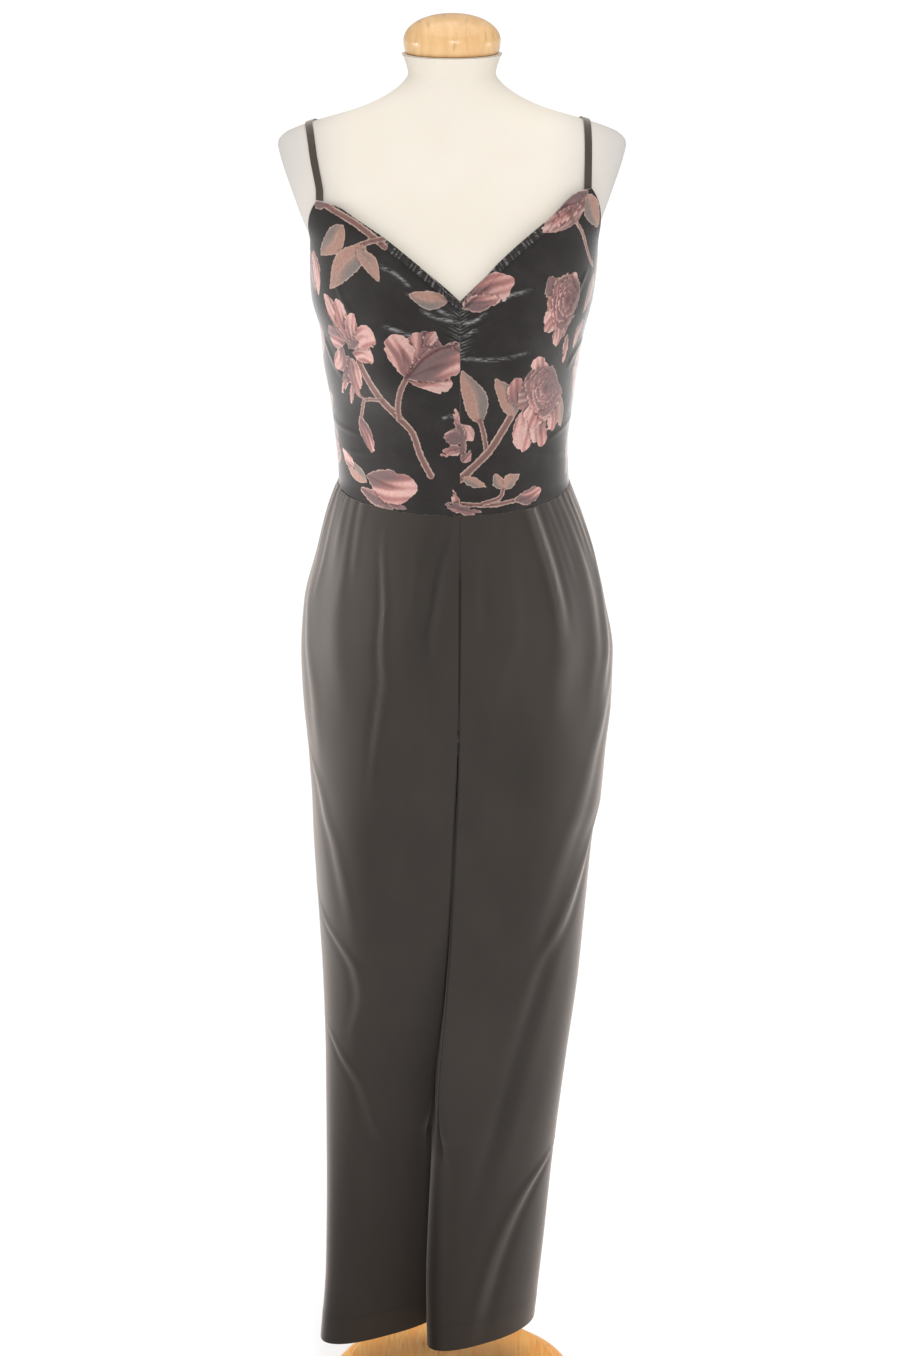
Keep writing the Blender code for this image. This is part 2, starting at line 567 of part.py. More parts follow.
def quarter_surface(side, half):
    """A trouser quarter: v runs from the hem up to the waist seam, u from the inner edge to the side seam."""
    sign = SIDES[side]
    edge_gap = SEAM / 2 / LEG_RADIUS

    def smooth_face(u, v):
        u = edge_gap + (1 - 2 * edge_gap) * u
        angle = QUARTER_TURN * u
        plan_angle = sign * (angle if half == "front" else math.pi - angle)
        top = (waist_at(angle) if half == "front" else WAIST) - SEAM
        share = np.clip((v - FORK_V) / (1 - FORK_V), 0, 2)
        z = np.where(v < FORK_V, HEM + (FORK - HEM) * v / FORK_V, FORK + (top - FORK) * share)
        leg = leg_point(side, half, u, z)
        trunk = worn_point(plan_angle, z)
        down = np.clip((FORK_TOP - z) / (FORK_TOP - FORK), 0, 1)
        at_edge = 1 - np.sqrt(1 - down ** 2)
        at_thigh = smooth((THIGH_TOP - z) / (THIGH_TOP - THIGH_FOOT))
        beside = smooth(u / THIGH_SHARE)
        under = (at_edge * (1 - beside) + at_thigh * beside)[..., None]
        face = trunk * (1 - under) + leg * under
        inside, faces = read(PARTING, "inside", z), read(PARTING, "faces", z)
        depth = read(GARMENT, half, np.maximum(z, GARMENT["z"][0]))
        forward = smooth((np.abs(face[..., 1]) / depth - 0.08) / 0.55)
        face[..., 0] += (faces - inside) * forward * bell(face[..., 0] - inside, PARTING_WIDTH)
        return face

    def lift(u, v):
        return fold_lift(side, half, u, smooth_face(u, v)[..., 2])

    return raised(smooth_face, lift, sign if half == "front" else -sign)


def build_trousers(crepe, collection):
    turning = FORK_V + (1 - FORK_V) * (FORK_TOP - FORK) / (WAIST - FORK)
    fork = turning - (turning - FORK_V) * np.sin(np.linspace(0, QUARTER_TURN, TURN_ROWS + 1))[::-1]
    along = np.concatenate([np.linspace(0, FORK_V, LEG_ROWS + 1)[:-1], fork,
                            np.linspace(turning, GATHER_V, HIP_ROWS + 1)[1:],
                            np.linspace(GATHER_V, 1, GATHER_ROWS + 1)[1:]])
    for (half, side), (start, stop, count, _, _) in GATHERS.items():
        gathers = np.linspace(start, stop, 2 * count + 1)
        inner = [share for share in INNER_SHARES if share < start]
        across = np.concatenate([inner, gathers, np.linspace(stop, 1, SIDE_PARTS + 1)[1:]])
        wall("trouser_" + half + "_" + side, quarter_surface(side, half), across, along, CLOTH,
             SIDES[side] if half == "front" else -SIDES[side], crepe, collection)


def main():
    for old in list(bpy.data.objects):
        bpy.data.objects.remove(old, do_unlink=True)
    collection = bpy.data.collections.new("jumpsuit_on_dress_form")
    bpy.context.scene.collection.children.link(collection)
    jersey = material("jersey", (0.80, 0.76, 0.70), 0.9)
    wood = material("wood", (0.62, 0.36, 0.15), 0.3)
    velvet = material("velvet", (0.020, 0.017, 0.018), 0.8)
    crepe = material("crepe", (0.050, 0.047, 0.045), 0.6)
    build_torso(jersey, collection)
    build_stand(wood, collection)
    build_bodice(velvet, collection)
    build_straps(crepe, collection)
    build_trousers(crepe, collection)


main()
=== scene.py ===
# %% [markdown]
# # A strappy jumpsuit on a dress form
# A velvet bodice with a flower print and a ruched V neck, narrow straps, and long, soft crepe trousers,
# worn by a limbless dress form on a round wooden base. The imported solids give every place. Each cloth
# panel is made again here as a thin shell with finer gathers and creases, and each finish is worked out
# by nodes. First the fixed frame is loaded.

# %% The fixed frame
import math

import bmesh
import bpy
import numpy as np
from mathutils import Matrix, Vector


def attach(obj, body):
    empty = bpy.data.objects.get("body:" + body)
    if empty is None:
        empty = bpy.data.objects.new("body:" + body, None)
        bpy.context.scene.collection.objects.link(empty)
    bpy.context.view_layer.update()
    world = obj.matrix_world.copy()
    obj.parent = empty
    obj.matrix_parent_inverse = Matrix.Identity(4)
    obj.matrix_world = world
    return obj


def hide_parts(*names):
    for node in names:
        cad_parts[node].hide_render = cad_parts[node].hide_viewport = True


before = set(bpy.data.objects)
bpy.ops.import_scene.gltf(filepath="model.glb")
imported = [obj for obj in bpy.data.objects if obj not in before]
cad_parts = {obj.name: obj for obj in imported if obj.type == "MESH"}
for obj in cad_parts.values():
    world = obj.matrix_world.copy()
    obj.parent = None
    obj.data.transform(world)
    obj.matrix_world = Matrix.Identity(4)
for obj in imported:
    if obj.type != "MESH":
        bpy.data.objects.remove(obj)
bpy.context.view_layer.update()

# %% [markdown]
# The garment and the form are worked out from a few sizes and short tables, the same ones that cut the
# solids, so that every panel lies where its solid does. A place on the figure is an angle round it, 0 at
# the centre front and positive towards the wearer's left, and a height. A table could be turned into a
# mesh by hand, but a function of two shares can be sampled as finely as a crease needs.

# %% Sizes in metres, and a few shares of a length
SEAM = 0.0003
CLOTH = 0.0012
VELVET = 0.0014
BASE_RADIUS = 0.150
BASE_HEIGHT = 0.025
NECK_TOP = 1.644
CAP_RADIUS = 0.0545
CAP_TOP = 1.688
CAP_BELLY = 0.014
CAP_EASE = 0.0045
WAIST = 1.157
WAIST_DIP = 0.020
FRONT_X = 0.009
V_POINT = 1.382
UNDERARM = 1.353
BACK_TOP = 1.362
FORK_TOP = 0.890
FORK = 0.828
THIGH_TOP = 0.965
THIGH_FOOT = 0.710
THIGH_SHARE = 0.12
THIGH_BEND = 0.15
HEM = 0.080
HEM_DEPTH = 0.035
BUST_OUT = 0.022
BUST_X = 0.078
BUST_SPREAD = 0.050
BUST_Z = 1.312
BUST_ABOVE = 0.066
BUST_BELOW = 0.050
BAND = 0.009
BAND_CLEAR = 0.0009
STRAP_WIDTH = 0.008
STRAP_WALL = 0.0012
STRAP_CLEAR = 0.0010
STRAP_HUB = 1.500
STRAP_STAND = 0.0035
STRAP_RISE = 0.13
UNDERARM_SHARE = 0.58
FORK_V = 0.68
INNER_EASE = 0.62
CORNER = 0.107
CORNER_SHARE = 0.006
CORNER_RISE = 0.120
QUARTER_WIDTH = 0.26
BODICE_RADIUS = 0.090
LEG_RADIUS = 0.097
PARTING_WIDTH = 0.060
QUARTER_TURN = math.pi / 2
SIDES = {"right": -1, "left": 1}
print("inside leg:", round(FORK - HEM, 3), "m; hem to waist seam:", round(WAIST - HEM, 3), "m")


# %% Short tables
def numbers(words):
    """The numbers in a row of text."""
    return [float(word) for word in words.split()]


def table(columns, rows):
    """A short table with named columns; commas part its rows."""
    return dict(zip(columns.split(), np.array([numbers(row) for row in rows.split(",")]).T))


def read(rows, column, at, key="z"):
    """A column's value at any place, on a smooth curve that never overshoots its rows."""
    xs, ys = rows[key], rows[column]
    at = np.clip(np.asarray(at, float), xs[0], xs[-1])
    steps = np.diff(xs)
    slopes = np.diff(ys) / steps
    product, total = slopes[1:] * slopes[:-1], slopes[1:] + slopes[:-1]
    inner = np.where(product > 0, 2 * product / np.where(total == 0, 1, total), 0.0)
    tangents = np.concatenate([slopes[:1], inner, slopes[-1:]])
    i = np.clip(np.searchsorted(xs, at, side="right") - 1, 0, len(steps) - 1)
    t = (at - xs[i]) / steps[i]
    return ((1 + 2 * t) * (1 - t) ** 2 * ys[i] + t * (1 - t) ** 2 * steps[i] * tangents[i]
            + t * t * (3 - 2 * t) * ys[i + 1] - t * t * (1 - t) * steps[i] * tangents[i + 1])


FORM = table("z half_width front back power", """
    .866 .13 .08 .09 2.3, .872 .142 .091 .101 2.3, .888 .152 .099 .111 2.3, .95 .163 .106 .121 2.3,
    1.03 .156 .104 .114 2.2, 1.1 .138 .098 .094 2.2, 1.157 .126 .091 .081 2.2, 1.21 .128 .093 .082 2.2,
    1.26 .134 .101 .086 2.2, 1.31 .141 .11 .092 2.2, 1.36 .147 .108 .098 2.3, 1.41 .153 .099 .103 2.4,
    1.437 .16 .092 .104 2.6, 1.462 .17 .085 .103 2.8, 1.502 .184 .073 .097 3.1, 1.53 .193 .064 .088 3,
    1.545 .196 .059 .081 2.7, 1.554 .19 .056 .076 2.4, 1.563 .171 .054 .071 2.2, 1.572 .142 .052 .067 2.1,
    1.582 .108 .05 .062 2, 1.591 .086 .049 .058 2, 1.6 .07 .048 .055 2, 1.61 .057 .047 .052 2,
    1.622 .049 .046 .05 2, 1.634 .052 .051 .052 2, 1.644 .055 .055 .055 2
""")
GARMENT = table("z right left front back power", """
    .69 .163 .165 .092 .094 2.6, .76 .166 .175 .102 .107 2.6, .828 .169 .181 .112 .122 2.5,
    .889 .175 .188 .117 .129 2.4, .95 .177 .189 .118 .132 2.3, 1.011 .173 .179 .116 .127 2.2,
    1.071 .158 .165 .111 .112 2.2, 1.119 .146 .15 .105 .098 2.2, 1.145 .137 .14 .1 .09 2.2,
    1.16 .131 .135 .097 .087 2.2, 1.202 .134 .134 .099 .088 2.2, 1.249 .139 .139 .106 .091 2.2,
    1.296 .147 .145 .115 .096 2.2, 1.331 .15 .151 .117 .101 2.2, 1.371 .16 .161 .113 .106 2.3,
    1.411 .163 .166 .106 .109 2.4, 1.437 .166 .169 .1 .11 2.6, 1.462 .176 .177 .093 .109 2.8,
    1.502 .19 .191 .081 .103 3.1
""")
NECKLINE = table("share right_x right_z left_x left_z", """
    0 0 1.382 0 1.382, .22 .029 1.408 .026 1.408, .4 .055 1.429 .047 1.429, .6 .084 1.451 .073 1.451,
    .8 .114 1.47 .101 1.473, .93 .138 1.484 .131 1.499, 1 .16 1.488 .147 1.502
""")
ARMHOLE = table("share angle right_z left_z", """
    0 90 1.353 1.353, .22 87 1.371 1.372, .45 80 1.402 1.406, .75 68.5 1.446 1.456, 1 58 1.488 1.502
""")
LEGS = table(
    "z right_outer left_outer lap front back slant right_y left_y right_power left_power outer_power", """
    .08 -.162 .103 .01 .05 .06 30 .011 -.009 3 2.5 2.3,
    .178 -.155 .113 .008 .051 .059 26 .01 -.009 3 2.5 2.3,
    .313 -.153 .125 .003 .056 .06 20 .008 -.009 3.6 3.2 2.3,
    .35 -.153 .129 .0012 .058 .061 17.8 .007 -.009 4.6 4.4 2.3,
    .385 -.153 .133 -.0002 .06 .062 16 .006 -.009 14 14 2.3,
    .445 -.153 .14 -.0002 .062 .063 13 .005 -.009 60 60 2.3,
    .542 -.155 .152 -.0002 .072 .073 8 .001 -.006 60 60 2.3,
    .638 -.16 .16 -.0002 .085 .085 2 0 0 150 150 2.3,
    .733 -.165 .168 -.0002 .098 .101 0 0 0 150 150 2.4,
    .778 -.166 .177 -.0002 .104 .11 0 0 0 150 150 2.4,
    .828 -.169 .181 -.0002 .111 .121 0 0 0 150 150 2.5,
    .965 -.177 .189 -.0002 .118 .132 0 0 0 150 150 2.5
""")
PARTING = table("z inside faces", """
    .08 -.021 -.021, .178 -.024 -.024, .313 -.023 -.022, .445 -.026 -.016, .542 -.023 -.008,
    .638 -.019 -.002, .733 -.016 .002, .828 -.016 .006, .915 -.016 .008, 1.03 .009 .009
""")
STRAPS = table("turn right_x left_x", """
    0 .1475 .1515, 45 .156 .152, 90 .161 .151, 140 .148 .142, 180 .122 .12, 235 .092 .092
""")
STRAP_START = {"right": -9.9, "left": 1.3}
STRAP_END = 239.2
print("tables read; the form is", 2 * FORM["half_width"].max(), "m across its shoulders")


# %% Curves and places on the figure
def smooth(share):
    """0 to 1 with a soft start and end."""
    share = np.clip(share, 0, 1)
    return share * share * (3 - 2 * share)


def bell(distance, width):
    return np.exp(-(distance / width) ** 2)


def wave(turns):
    """0 to 1 and back once a turn."""
    return 0.5 - 0.5 * np.cos(math.tau * turns)


def ring(angle, power):
    """Across and forward shares of a rounded section at an angle from straight forward (radians)."""
    s, c = np.sin(angle), np.cos(angle)
    reach = (np.abs(s) ** power + np.abs(c) ** power) ** (-1 / power)
    return s * reach, c * reach


def bust(x, forward, z):
    """How far the front stands out at the bust."""
    height = np.where(z > BUST_Z, BUST_ABOVE, BUST_BELOW)
    front = np.clip(forward, 0, 1) ** 0.5
    return BUST_OUT * front * bell(np.abs(x) - BUST_X, BUST_SPREAD) * bell(z - BUST_Z, height)


def form_point(angle, z):
    """The dress form's skin."""
    across, forward = ring(angle, read(FORM, "power", z))
    x = read(FORM, "half_width", z) * across
    depth = np.where(forward > 0, read(FORM, "front", z), read(FORM, "back", z))
    return np.stack([x, -depth * forward - bust(x, forward, z), z + 0 * angle], -1)


def worn_point(angle, z):
    """The garment's smooth outer face above the fork."""
    across, forward = ring(angle, read(GARMENT, "power", z))
    edge = np.where(across > 0, read(GARMENT, "left", z), -read(GARMENT, "right", z))
    above = smooth((z - FORK_TOP) / (PARTING["z"][-1] - FORK_TOP))
    middle = read(PARTING, "inside", z) - above * FRONT_X * (1 - forward) / 2
    x = middle + (edge - middle) * np.abs(across)
    depth = np.where(forward > 0, read(GARMENT, "front", z), read(GARMENT, "back", z))
    return np.stack([x, -depth * forward - bust(x, forward, z), z + 0 * angle], -1)


def waist_at(angle):
    """Height of the waist seam, which dips at the centre front."""
    return WAIST - WAIST_DIP * np.clip(np.cos(angle), 0, 1) ** 1.3


def normals(surface, u, v, small=1e-4):
    """Unit normals of a surface of two shares."""
    along_u = surface(u + small, v) - surface(u - small, v)
    along_v = surface(u, v + small) - surface(u, v - small)
    out = np.cross(along_u, along_v)
    return out / (np.linalg.norm(out, axis=-1, keepdims=True) + 1e-12)


def raised(surface, lift, outward, level=0.0):
    """The surface moved out along its normals by lift(u, v); level flattens that move in height."""
    keep = np.array((1.0, 1.0, level))
    return lambda u, v: surface(u, v) + outward * keep * normals(surface, u, v) * lift(u, v)[..., None]


around = worn_point(np.linspace(-math.pi, math.pi, 361), np.full(361, WAIST))
print("round the waist:", round(float(np.linalg.norm(np.diff(around, axis=0), axis=1).sum()), 3), "m")

# %% [markdown]
# Cloth is a wall a millimetre or so thick, open at neck, armholes and hems. A Solidify modifier could
# give a flat grid its wall, but its far side would then bulge at tight gathers. Here one operator makes a
# fine grid, a second extrudes it to a closed shell, and each of its two layers is laid on its own
# worked-out face. What the finish needs to know about a place, such as the print, is kept as attributes
# of the points.

# %% A wall of cloth
def new_object(name, data):
    """A new object at the origin, shown in the scene."""
    made = bpy.data.objects.new(name, data)
    bpy.context.scene.collection.objects.link(made)
    return made


def object_of(bm, name, crisp=50):
    """The mesh as a named object with its faces pointing out, and edges past so many degrees left crisp."""
    bmesh.ops.recalc_face_normals(bm, faces=bm.faces[:])
    if bm.calc_volume(signed=True) < 0:
        bmesh.ops.reverse_faces(bm, faces=bm.faces[:])
    mesh = bpy.data.meshes.new(name)
    bm.to_mesh(mesh)
    bm.free()
    mesh.shade_smooth()
    mesh.set_sharp_from_angle(angle=math.radians(crisp))
    return new_object(name, mesh)


def dress(piece, node, finish):
    """The piece stands for its solid, moves with it and takes its finish."""
    piece.data.materials.append(finish)
    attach(piece, "root")
    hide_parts(node)
    return piece


def cloth_wall(name, surface, across, along, thickness, outward, facts, crisp=50):
    """A closed wall whose outer face is surface(u, v); facts(u, v) gives the attributes of its points."""
    bm = bmesh.new()
    bmesh.ops.create_grid(bm, x_segments=across, y_segments=along, size=0.5)
    inner = [e for e in bmesh.ops.extrude_face_region(bm, geom=bm.faces[:])["geom"]
             if isinstance(e, bmesh.types.BMVert)]
    bmesh.ops.translate(bm, verts=inner, vec=(0, 0, 1))
    mesh = bpy.data.meshes.new(name)
    bm.to_mesh(mesh)
    bm.free()
    flat = np.empty(len(mesh.vertices) * 3)
    mesh.vertices.foreach_get("co", flat)
    flat = flat.reshape(-1, 3)
    u, v, depth = flat[:, 0] + 0.5, flat[:, 1] + 0.5, flat[:, 2] * thickness
    places = surface(u, v) - outward * normals(surface, u, v) * depth[:, None]
    mesh.vertices.foreach_set("co", places.ravel())
    for key, values in facts(u, v).items():
        kind = "FLOAT" if values.ndim == 1 else "FLOAT_VECTOR"
        field = "value" if values.ndim == 1 else "vector"
        mesh.attributes.new(key, kind, "POINT").data.foreach_set(field, values.astype(np.float32).ravel())
    bm = bmesh.new()
    bm.from_mesh(mesh)
    bpy.data.meshes.remove(mesh)
    made = object_of(bm, name, crisp)
    print(name, "faces:", len(made.data.polygons))
    return made

# %% [markdown]
# Finishes are node trees. They could be wired by hand, link by link, but sums of sockets are easier to
# read as plain arithmetic, so one small class wraps a socket and one method adds any other node. Patterns
# read the object's own coordinates in metres or an attribute of the cloth, so they stay put when the view
# changes.

# %% Shader arithmetic
class Value:
    """A socket's output; arithmetic on it adds Math nodes."""

    def __init__(self, finish, socket):
        self.finish, self.socket = finish, socket

    def maths(self, operation, *values):
        return self.finish.node("ShaderNodeMath", {"operation": operation}, values)

    def __add__(self, other):
        return self.maths("ADD", self, other)

    def __sub__(self, other):
        return self.maths("SUBTRACT", self, other)

    def __rsub__(self, other):
        return self.maths("SUBTRACT", other, self)

    def __mul__(self, other):
        return self.maths("MULTIPLY", self, other)

    def sine(self):
        return self.maths("SINE", self)

    def within(self, low, high):
        """0 below low, 1 above high, and a soft step between."""
        return self.finish.node("ShaderNodeMapRange", {"interpolation_type": "SMOOTHSTEP"},
                                {"Value": self, "From Min": low, "From Max": high})

    __radd__, __rmul__ = __add__, __mul__


class Finish:
    """A material with one Principled shader, built by expressions."""

    def __init__(self, name, **constants):
        self.material = bpy.data.materials.new(name)
        self.material.use_nodes = True
        self.tree = self.material.node_tree
        self.shader = self.tree.nodes["Principled BSDF"]
        for key, value in constants.items():
            self.shader.inputs[key.replace("_", " ")].default_value = value

    def node(self, kind, settings=None, values=(), output=0):
        made = self.tree.nodes.new(kind)
        for key, value in (settings or {}).items():
            setattr(made, key, value)
        for key, value in (values.items() if isinstance(values, dict) else enumerate(values)):
            self.feed(made.inputs[key], value)
        return Value(self, made.outputs[output])

    def feed(self, socket, value):
        if isinstance(value, Value):
            self.tree.links.new(value.socket, socket)
        else:
            socket.default_value = value

    def place(self, scale=(1, 1, 1), turn=(0, 0, 0), source=None):
        """Object coordinates, or another vector, scaled and turned."""
        source = source or self.node("ShaderNodeTexCoord", output="Object")
        return self.node("ShaderNodeMapping", {}, {"Vector": source, "Scale": scale, "Rotation": turn})

    def axis(self, vector, name):
        return self.node("ShaderNodeSeparateXYZ", {}, [vector], output=name)

    def fact(self, name, output="Fac"):
        return self.node("ShaderNodeAttribute", {"attribute_name": name}, output=output)

    def noise(self, vector, scale, detail, roughness, distortion=0.0):
        sockets = {"Vector": vector, "Scale": scale, "Detail": detail, "Roughness": roughness}
        return self.node("ShaderNodeTexNoise", {}, {**sockets, "Distortion": distortion})

    def mix(self, share, first, second):
        return self.node("ShaderNodeMix", {"data_type": "RGBA"}, {0: share, 6: first, 7: second}, output=2)

    def bump(self, height, distance, strength):
        sockets = {"Height": height, "Distance": distance, "Strength": strength}
        self.feed(self.shader.inputs["Normal"], self.node("ShaderNodeBump", {}, sockets))

    def paint_shade(self, share, colour):
        """Where share is 1 the surface is painted as shade: plain, matt and dark, without sheen, as deep in a
        seam.
        """
        matt = self.node("ShaderNodeBsdfDiffuse", {}, {"Color": colour})
        plain = Value(self, self.shader.outputs[0])
        both = self.node("ShaderNodeMixShader", {}, {0: share, 1: plain, 2: matt})
        self.feed(self.tree.nodes["Material Output"].inputs["Surface"], both)

    def paint(self, **varying):
        for key, value in varying.items():
            self.feed(self.shader.inputs[key.replace("_", " ")], value)
        return self.material

# %% [markdown]
# The flower print belongs to the velvet: it was printed before the panels were cut, so seams cut through
# flowers, and it stretches with the cloth. It could be wired from shader nodes, but more than a hundred
# petals, leaves and stems would make a slow tree. Instead each motif is a small drawing function on the
# flat cloth, in millimetres from the panel's middle edge and up, and short rows say where each one goes.
# The points of the cloth keep how far inside a motif they lie, and the finish turns that into a crisp
# edge.

# %% Drawing on flat velvet
SALMON = np.array((0.39, 0.170, 0.152))
PALE = np.array((0.58, 0.385, 0.345))
MAUVE = np.array((0.150, 0.098, 0.098))
DEEP = np.array((0.055, 0.020, 0.022))
LEAF_TAN = np.array((0.33, 0.195, 0.155))
LEAF_GREY = np.array((0.175, 0.150, 0.138))
STEM_BROWN = np.array((0.165, 0.088, 0.078))
STEM_RIM = np.array((0.42, 0.300, 0.250))


def blend(first, second, share):
    share = np.clip(share, 0, 1)[..., None]
    return first * (1 - share) + second * share


class Velvet:
    """A flat piece of velvet: points in millimetres, and what is printed at each."""

    def __init__(self, across, up):
        self.x, self.y = across, up
        self.edge = np.full(across.shape, -30.0)
        self.colour = np.zeros(across.shape + (3,))
        self.ragged = (np.sin(across * 0.9 + up * 0.5) + np.sin(up * 1.2 - across * 0.4)
                       + np.sin(across * 0.4 - up * 0.7 + 2)) * 0.28

    def lay(self, depth, colour, shadow=0.0, rough=1.0):
        """Paint where depth is above 0, over what is there; near its edge, what lies under it darkens."""
        depth = depth + self.ragged * rough
        dark = shadow * bell(np.minimum(depth, 0), 1.6) * ((depth <= 0) & (self.edge > 0))
        self.colour = blend(self.colour, DEEP, dark)
        over = (depth > 0) | (depth > self.edge)
        self.colour = np.where(over[..., None], colour, self.colour)
        self.edge = np.maximum(self.edge, depth)

    def local(self, x, y, turn):
        """Coordinates along and across a direction, from a point."""
        c, s = math.cos(math.radians(turn)), math.sin(math.radians(turn))
        dx, dy = self.x - x, self.y - y
        return dx * c + dy * s, dy * c - dx * s

    def blade(self, x, y, tip_x, tip_y, width, blunt=0.8):
        """A blade from foot to tip, widest nearer the tip the blunter it is: shares along and across, and
        depth inside."""
        length = math.hypot(tip_x - x, tip_y - y)
        along, across = self.local(x, y, math.degrees(math.atan2(tip_y - y, tip_x - x)))
        share = along / length
        bow = across - width * 0.16 * math.sin(x + tip_y) * wave(np.clip(share, 0, 1))
        swell = np.clip(np.sin(math.pi * np.clip(share, 0, 1) ** blunt), 0, 1) ** (1 / (0.4 + blunt))
        half = width / 2 * swell
        beyond = np.maximum(-share, share - 1) * length
        depth = np.where(beyond > 0, -np.hypot(beyond, across), half - np.abs(bow))
        return share, bow / (width / 2), depth

    def leaf(self, x, y, tip_x, tip_y, width):
        share, side, depth = self.blade(x, y, tip_x, tip_y, width)
        cloudy = 0.25 * np.sin(share * 6 + x) * np.sin(side * 3 + y)
        colour = blend(LEAF_TAN, LEAF_GREY, smooth(side * 1.6 * math.sin(x * 1.3) + 0.3 + cloudy))
        colour = blend(colour, STEM_RIM, 0.5 * bell(side - 0.02, 0.05) * smooth(2 - 2 * share))
        self.lay(depth, blend(colour, STEM_RIM, 0.7 * bell(depth, 0.9)), 0.6)

    def petal(self, x, y, tip_x, tip_y, width, light=0.5, blunt=0.9):
        """A petal, mauve at its foot and salmon towards its pale, torn rim."""
        share, side, depth = self.blade(x, y, tip_x, tip_y, width, blunt)
        brush = 0.40 * np.sin(side * 2.6 + share * 3 + x) + 0.30 * np.sin(side * 11 + share * 5 + y)
        grey = smooth(0.9 * np.sin(share * 4.2 + side * 1.7 + y) + 0.2 - light * 0.6)
        colour = blend(blend(MAUVE, SALMON, light + 1.1 * (share - 0.45) + brush), MAUVE, 0.75 * grey)
        colour = blend(colour, PALE, 0.75 * smooth(light + share - 1 + 1.4 * brush) + 0.75 * bell(depth, 0.8))
        colour = blend(colour, DEEP, 0.55 * bell(side + 0.3 * brush, 0.06) * smooth(1.5 - 1.6 * share))
        notch = 3.2 * np.clip(np.sin(share * 8 + side * 2.5 + x), 0, 1) ** 6
        notch = notch + 1.8 * np.abs(np.sin(side * 3 + y))
        notch = notch + 1.4 * np.clip(np.sin(share * 17 - side * 4 + y), 0, 1) ** 3
        self.lay(depth - notch * smooth(share * 3 - 1), colour, 0.9, 1.2)

    def stem(self, width, *way):
        """A smooth band through points given as pairs, lighter along one edge."""
        points = np.reshape(way, (-1, 2))
        at = np.arange(len(points))
        curve = {"z": at, "x": points[:, 0], "y": points[:, 1]}
        steps = np.linspace(0, len(points) - 1, 8 * len(points))
        cx, cy = read(curve, "x", steps), read(curve, "y", steps)
        depth = np.full(self.x.shape, -99.0)
        side = np.zeros(self.x.shape)
        for x0, y0, x1, y1 in zip(cx, cy, cx[1:], cy[1:]):
            length = math.hypot(x1 - x0, y1 - y0)
            t = np.clip(((self.x - x0) * (x1 - x0) + (self.y - y0) * (y1 - y0)) / length ** 2, 0, 1)
            gap = np.hypot(self.x - x0 - t * (x1 - x0), self.y - y0 - t * (y1 - y0))
            nearer = width / 2 - gap > depth
            cross = ((self.x - x0) * (y1 - y0) - (self.y - y0) * (x1 - x0)) / length
            side = np.where(nearer, cross / width * 2, side)
            depth = np.maximum(depth, width / 2 - gap)
        rim = smooth(np.abs(side) * 1.8 - 0.75) * 0.8
        stalk = blend(STEM_BROWN, STEM_RIM, rim + 0.25 * smooth(side))
        colour = stalk if width > 2 else blend(DEEP, MAUVE, rim)
        self.lay(depth, colour, 0.5, 0.7)

    def bloom(self, x, y, radius, tall=1.0, turn=0.0, seed=0):
        """A garden rose: torn salmon petals round a mauve cup, which leans and shows its inner rims."""
        for i in range(7):
            way = math.radians(turn + 360 * i / 7 + 14 * math.sin(seed * 3.1 + i * 2.3))
            reach = radius * (1.0 + 0.14 * math.sin(seed * 1.7 + i * 3.9))
            c, s = math.cos(way), math.sin(way) * tall
            light = 0.45 + 0.50 * math.sin(seed + i * 1.9)
            foot = x + 0.1 * reach * c, y + 0.1 * reach * s
            self.petal(*foot, x + reach * c, y + reach * s, 0.90 * radius, light, 1.5)
        lean = math.radians(turn)
        for level, (offset, size) in enumerate(((0.14, 0.80), (0.18, 0.62), (0.21, 0.46), (0.22, 0.29))):
            dx = self.x - x - offset * radius * math.cos(lean)
            dy = (self.y - y) / tall - offset * radius * math.sin(lean)
            at = np.arctan2(dy, dx)
            wavy = 1 + 0.08 * np.sin(3 * at + seed + level * 2)
            wavy = wavy - 0.07 * np.abs(np.sin(3.5 * at + level + seed))
            share = np.hypot(dx, dy) / (size * radius * wavy)
            far = 0.5 - 0.5 * np.cos(at - lean)
            strokes = wave(share * 2.4 + 0.3 * np.sin(2 * at + level)) ** 3 * far * smooth(share * 3 - 1)
            cup = blend(MAUVE, DEEP, 0.22 * level * (1 - share))
            colour = blend(cup, SALMON, 0.95 * strokes + 0.12 * far)
            depth = (1 - share) * size * radius
            rim = bell(depth, 0.9) * (0.35 + 0.65 * far)
            self.lay(depth, blend(colour, blend(SALMON, PALE, far), rim), 0.7, 1.5)


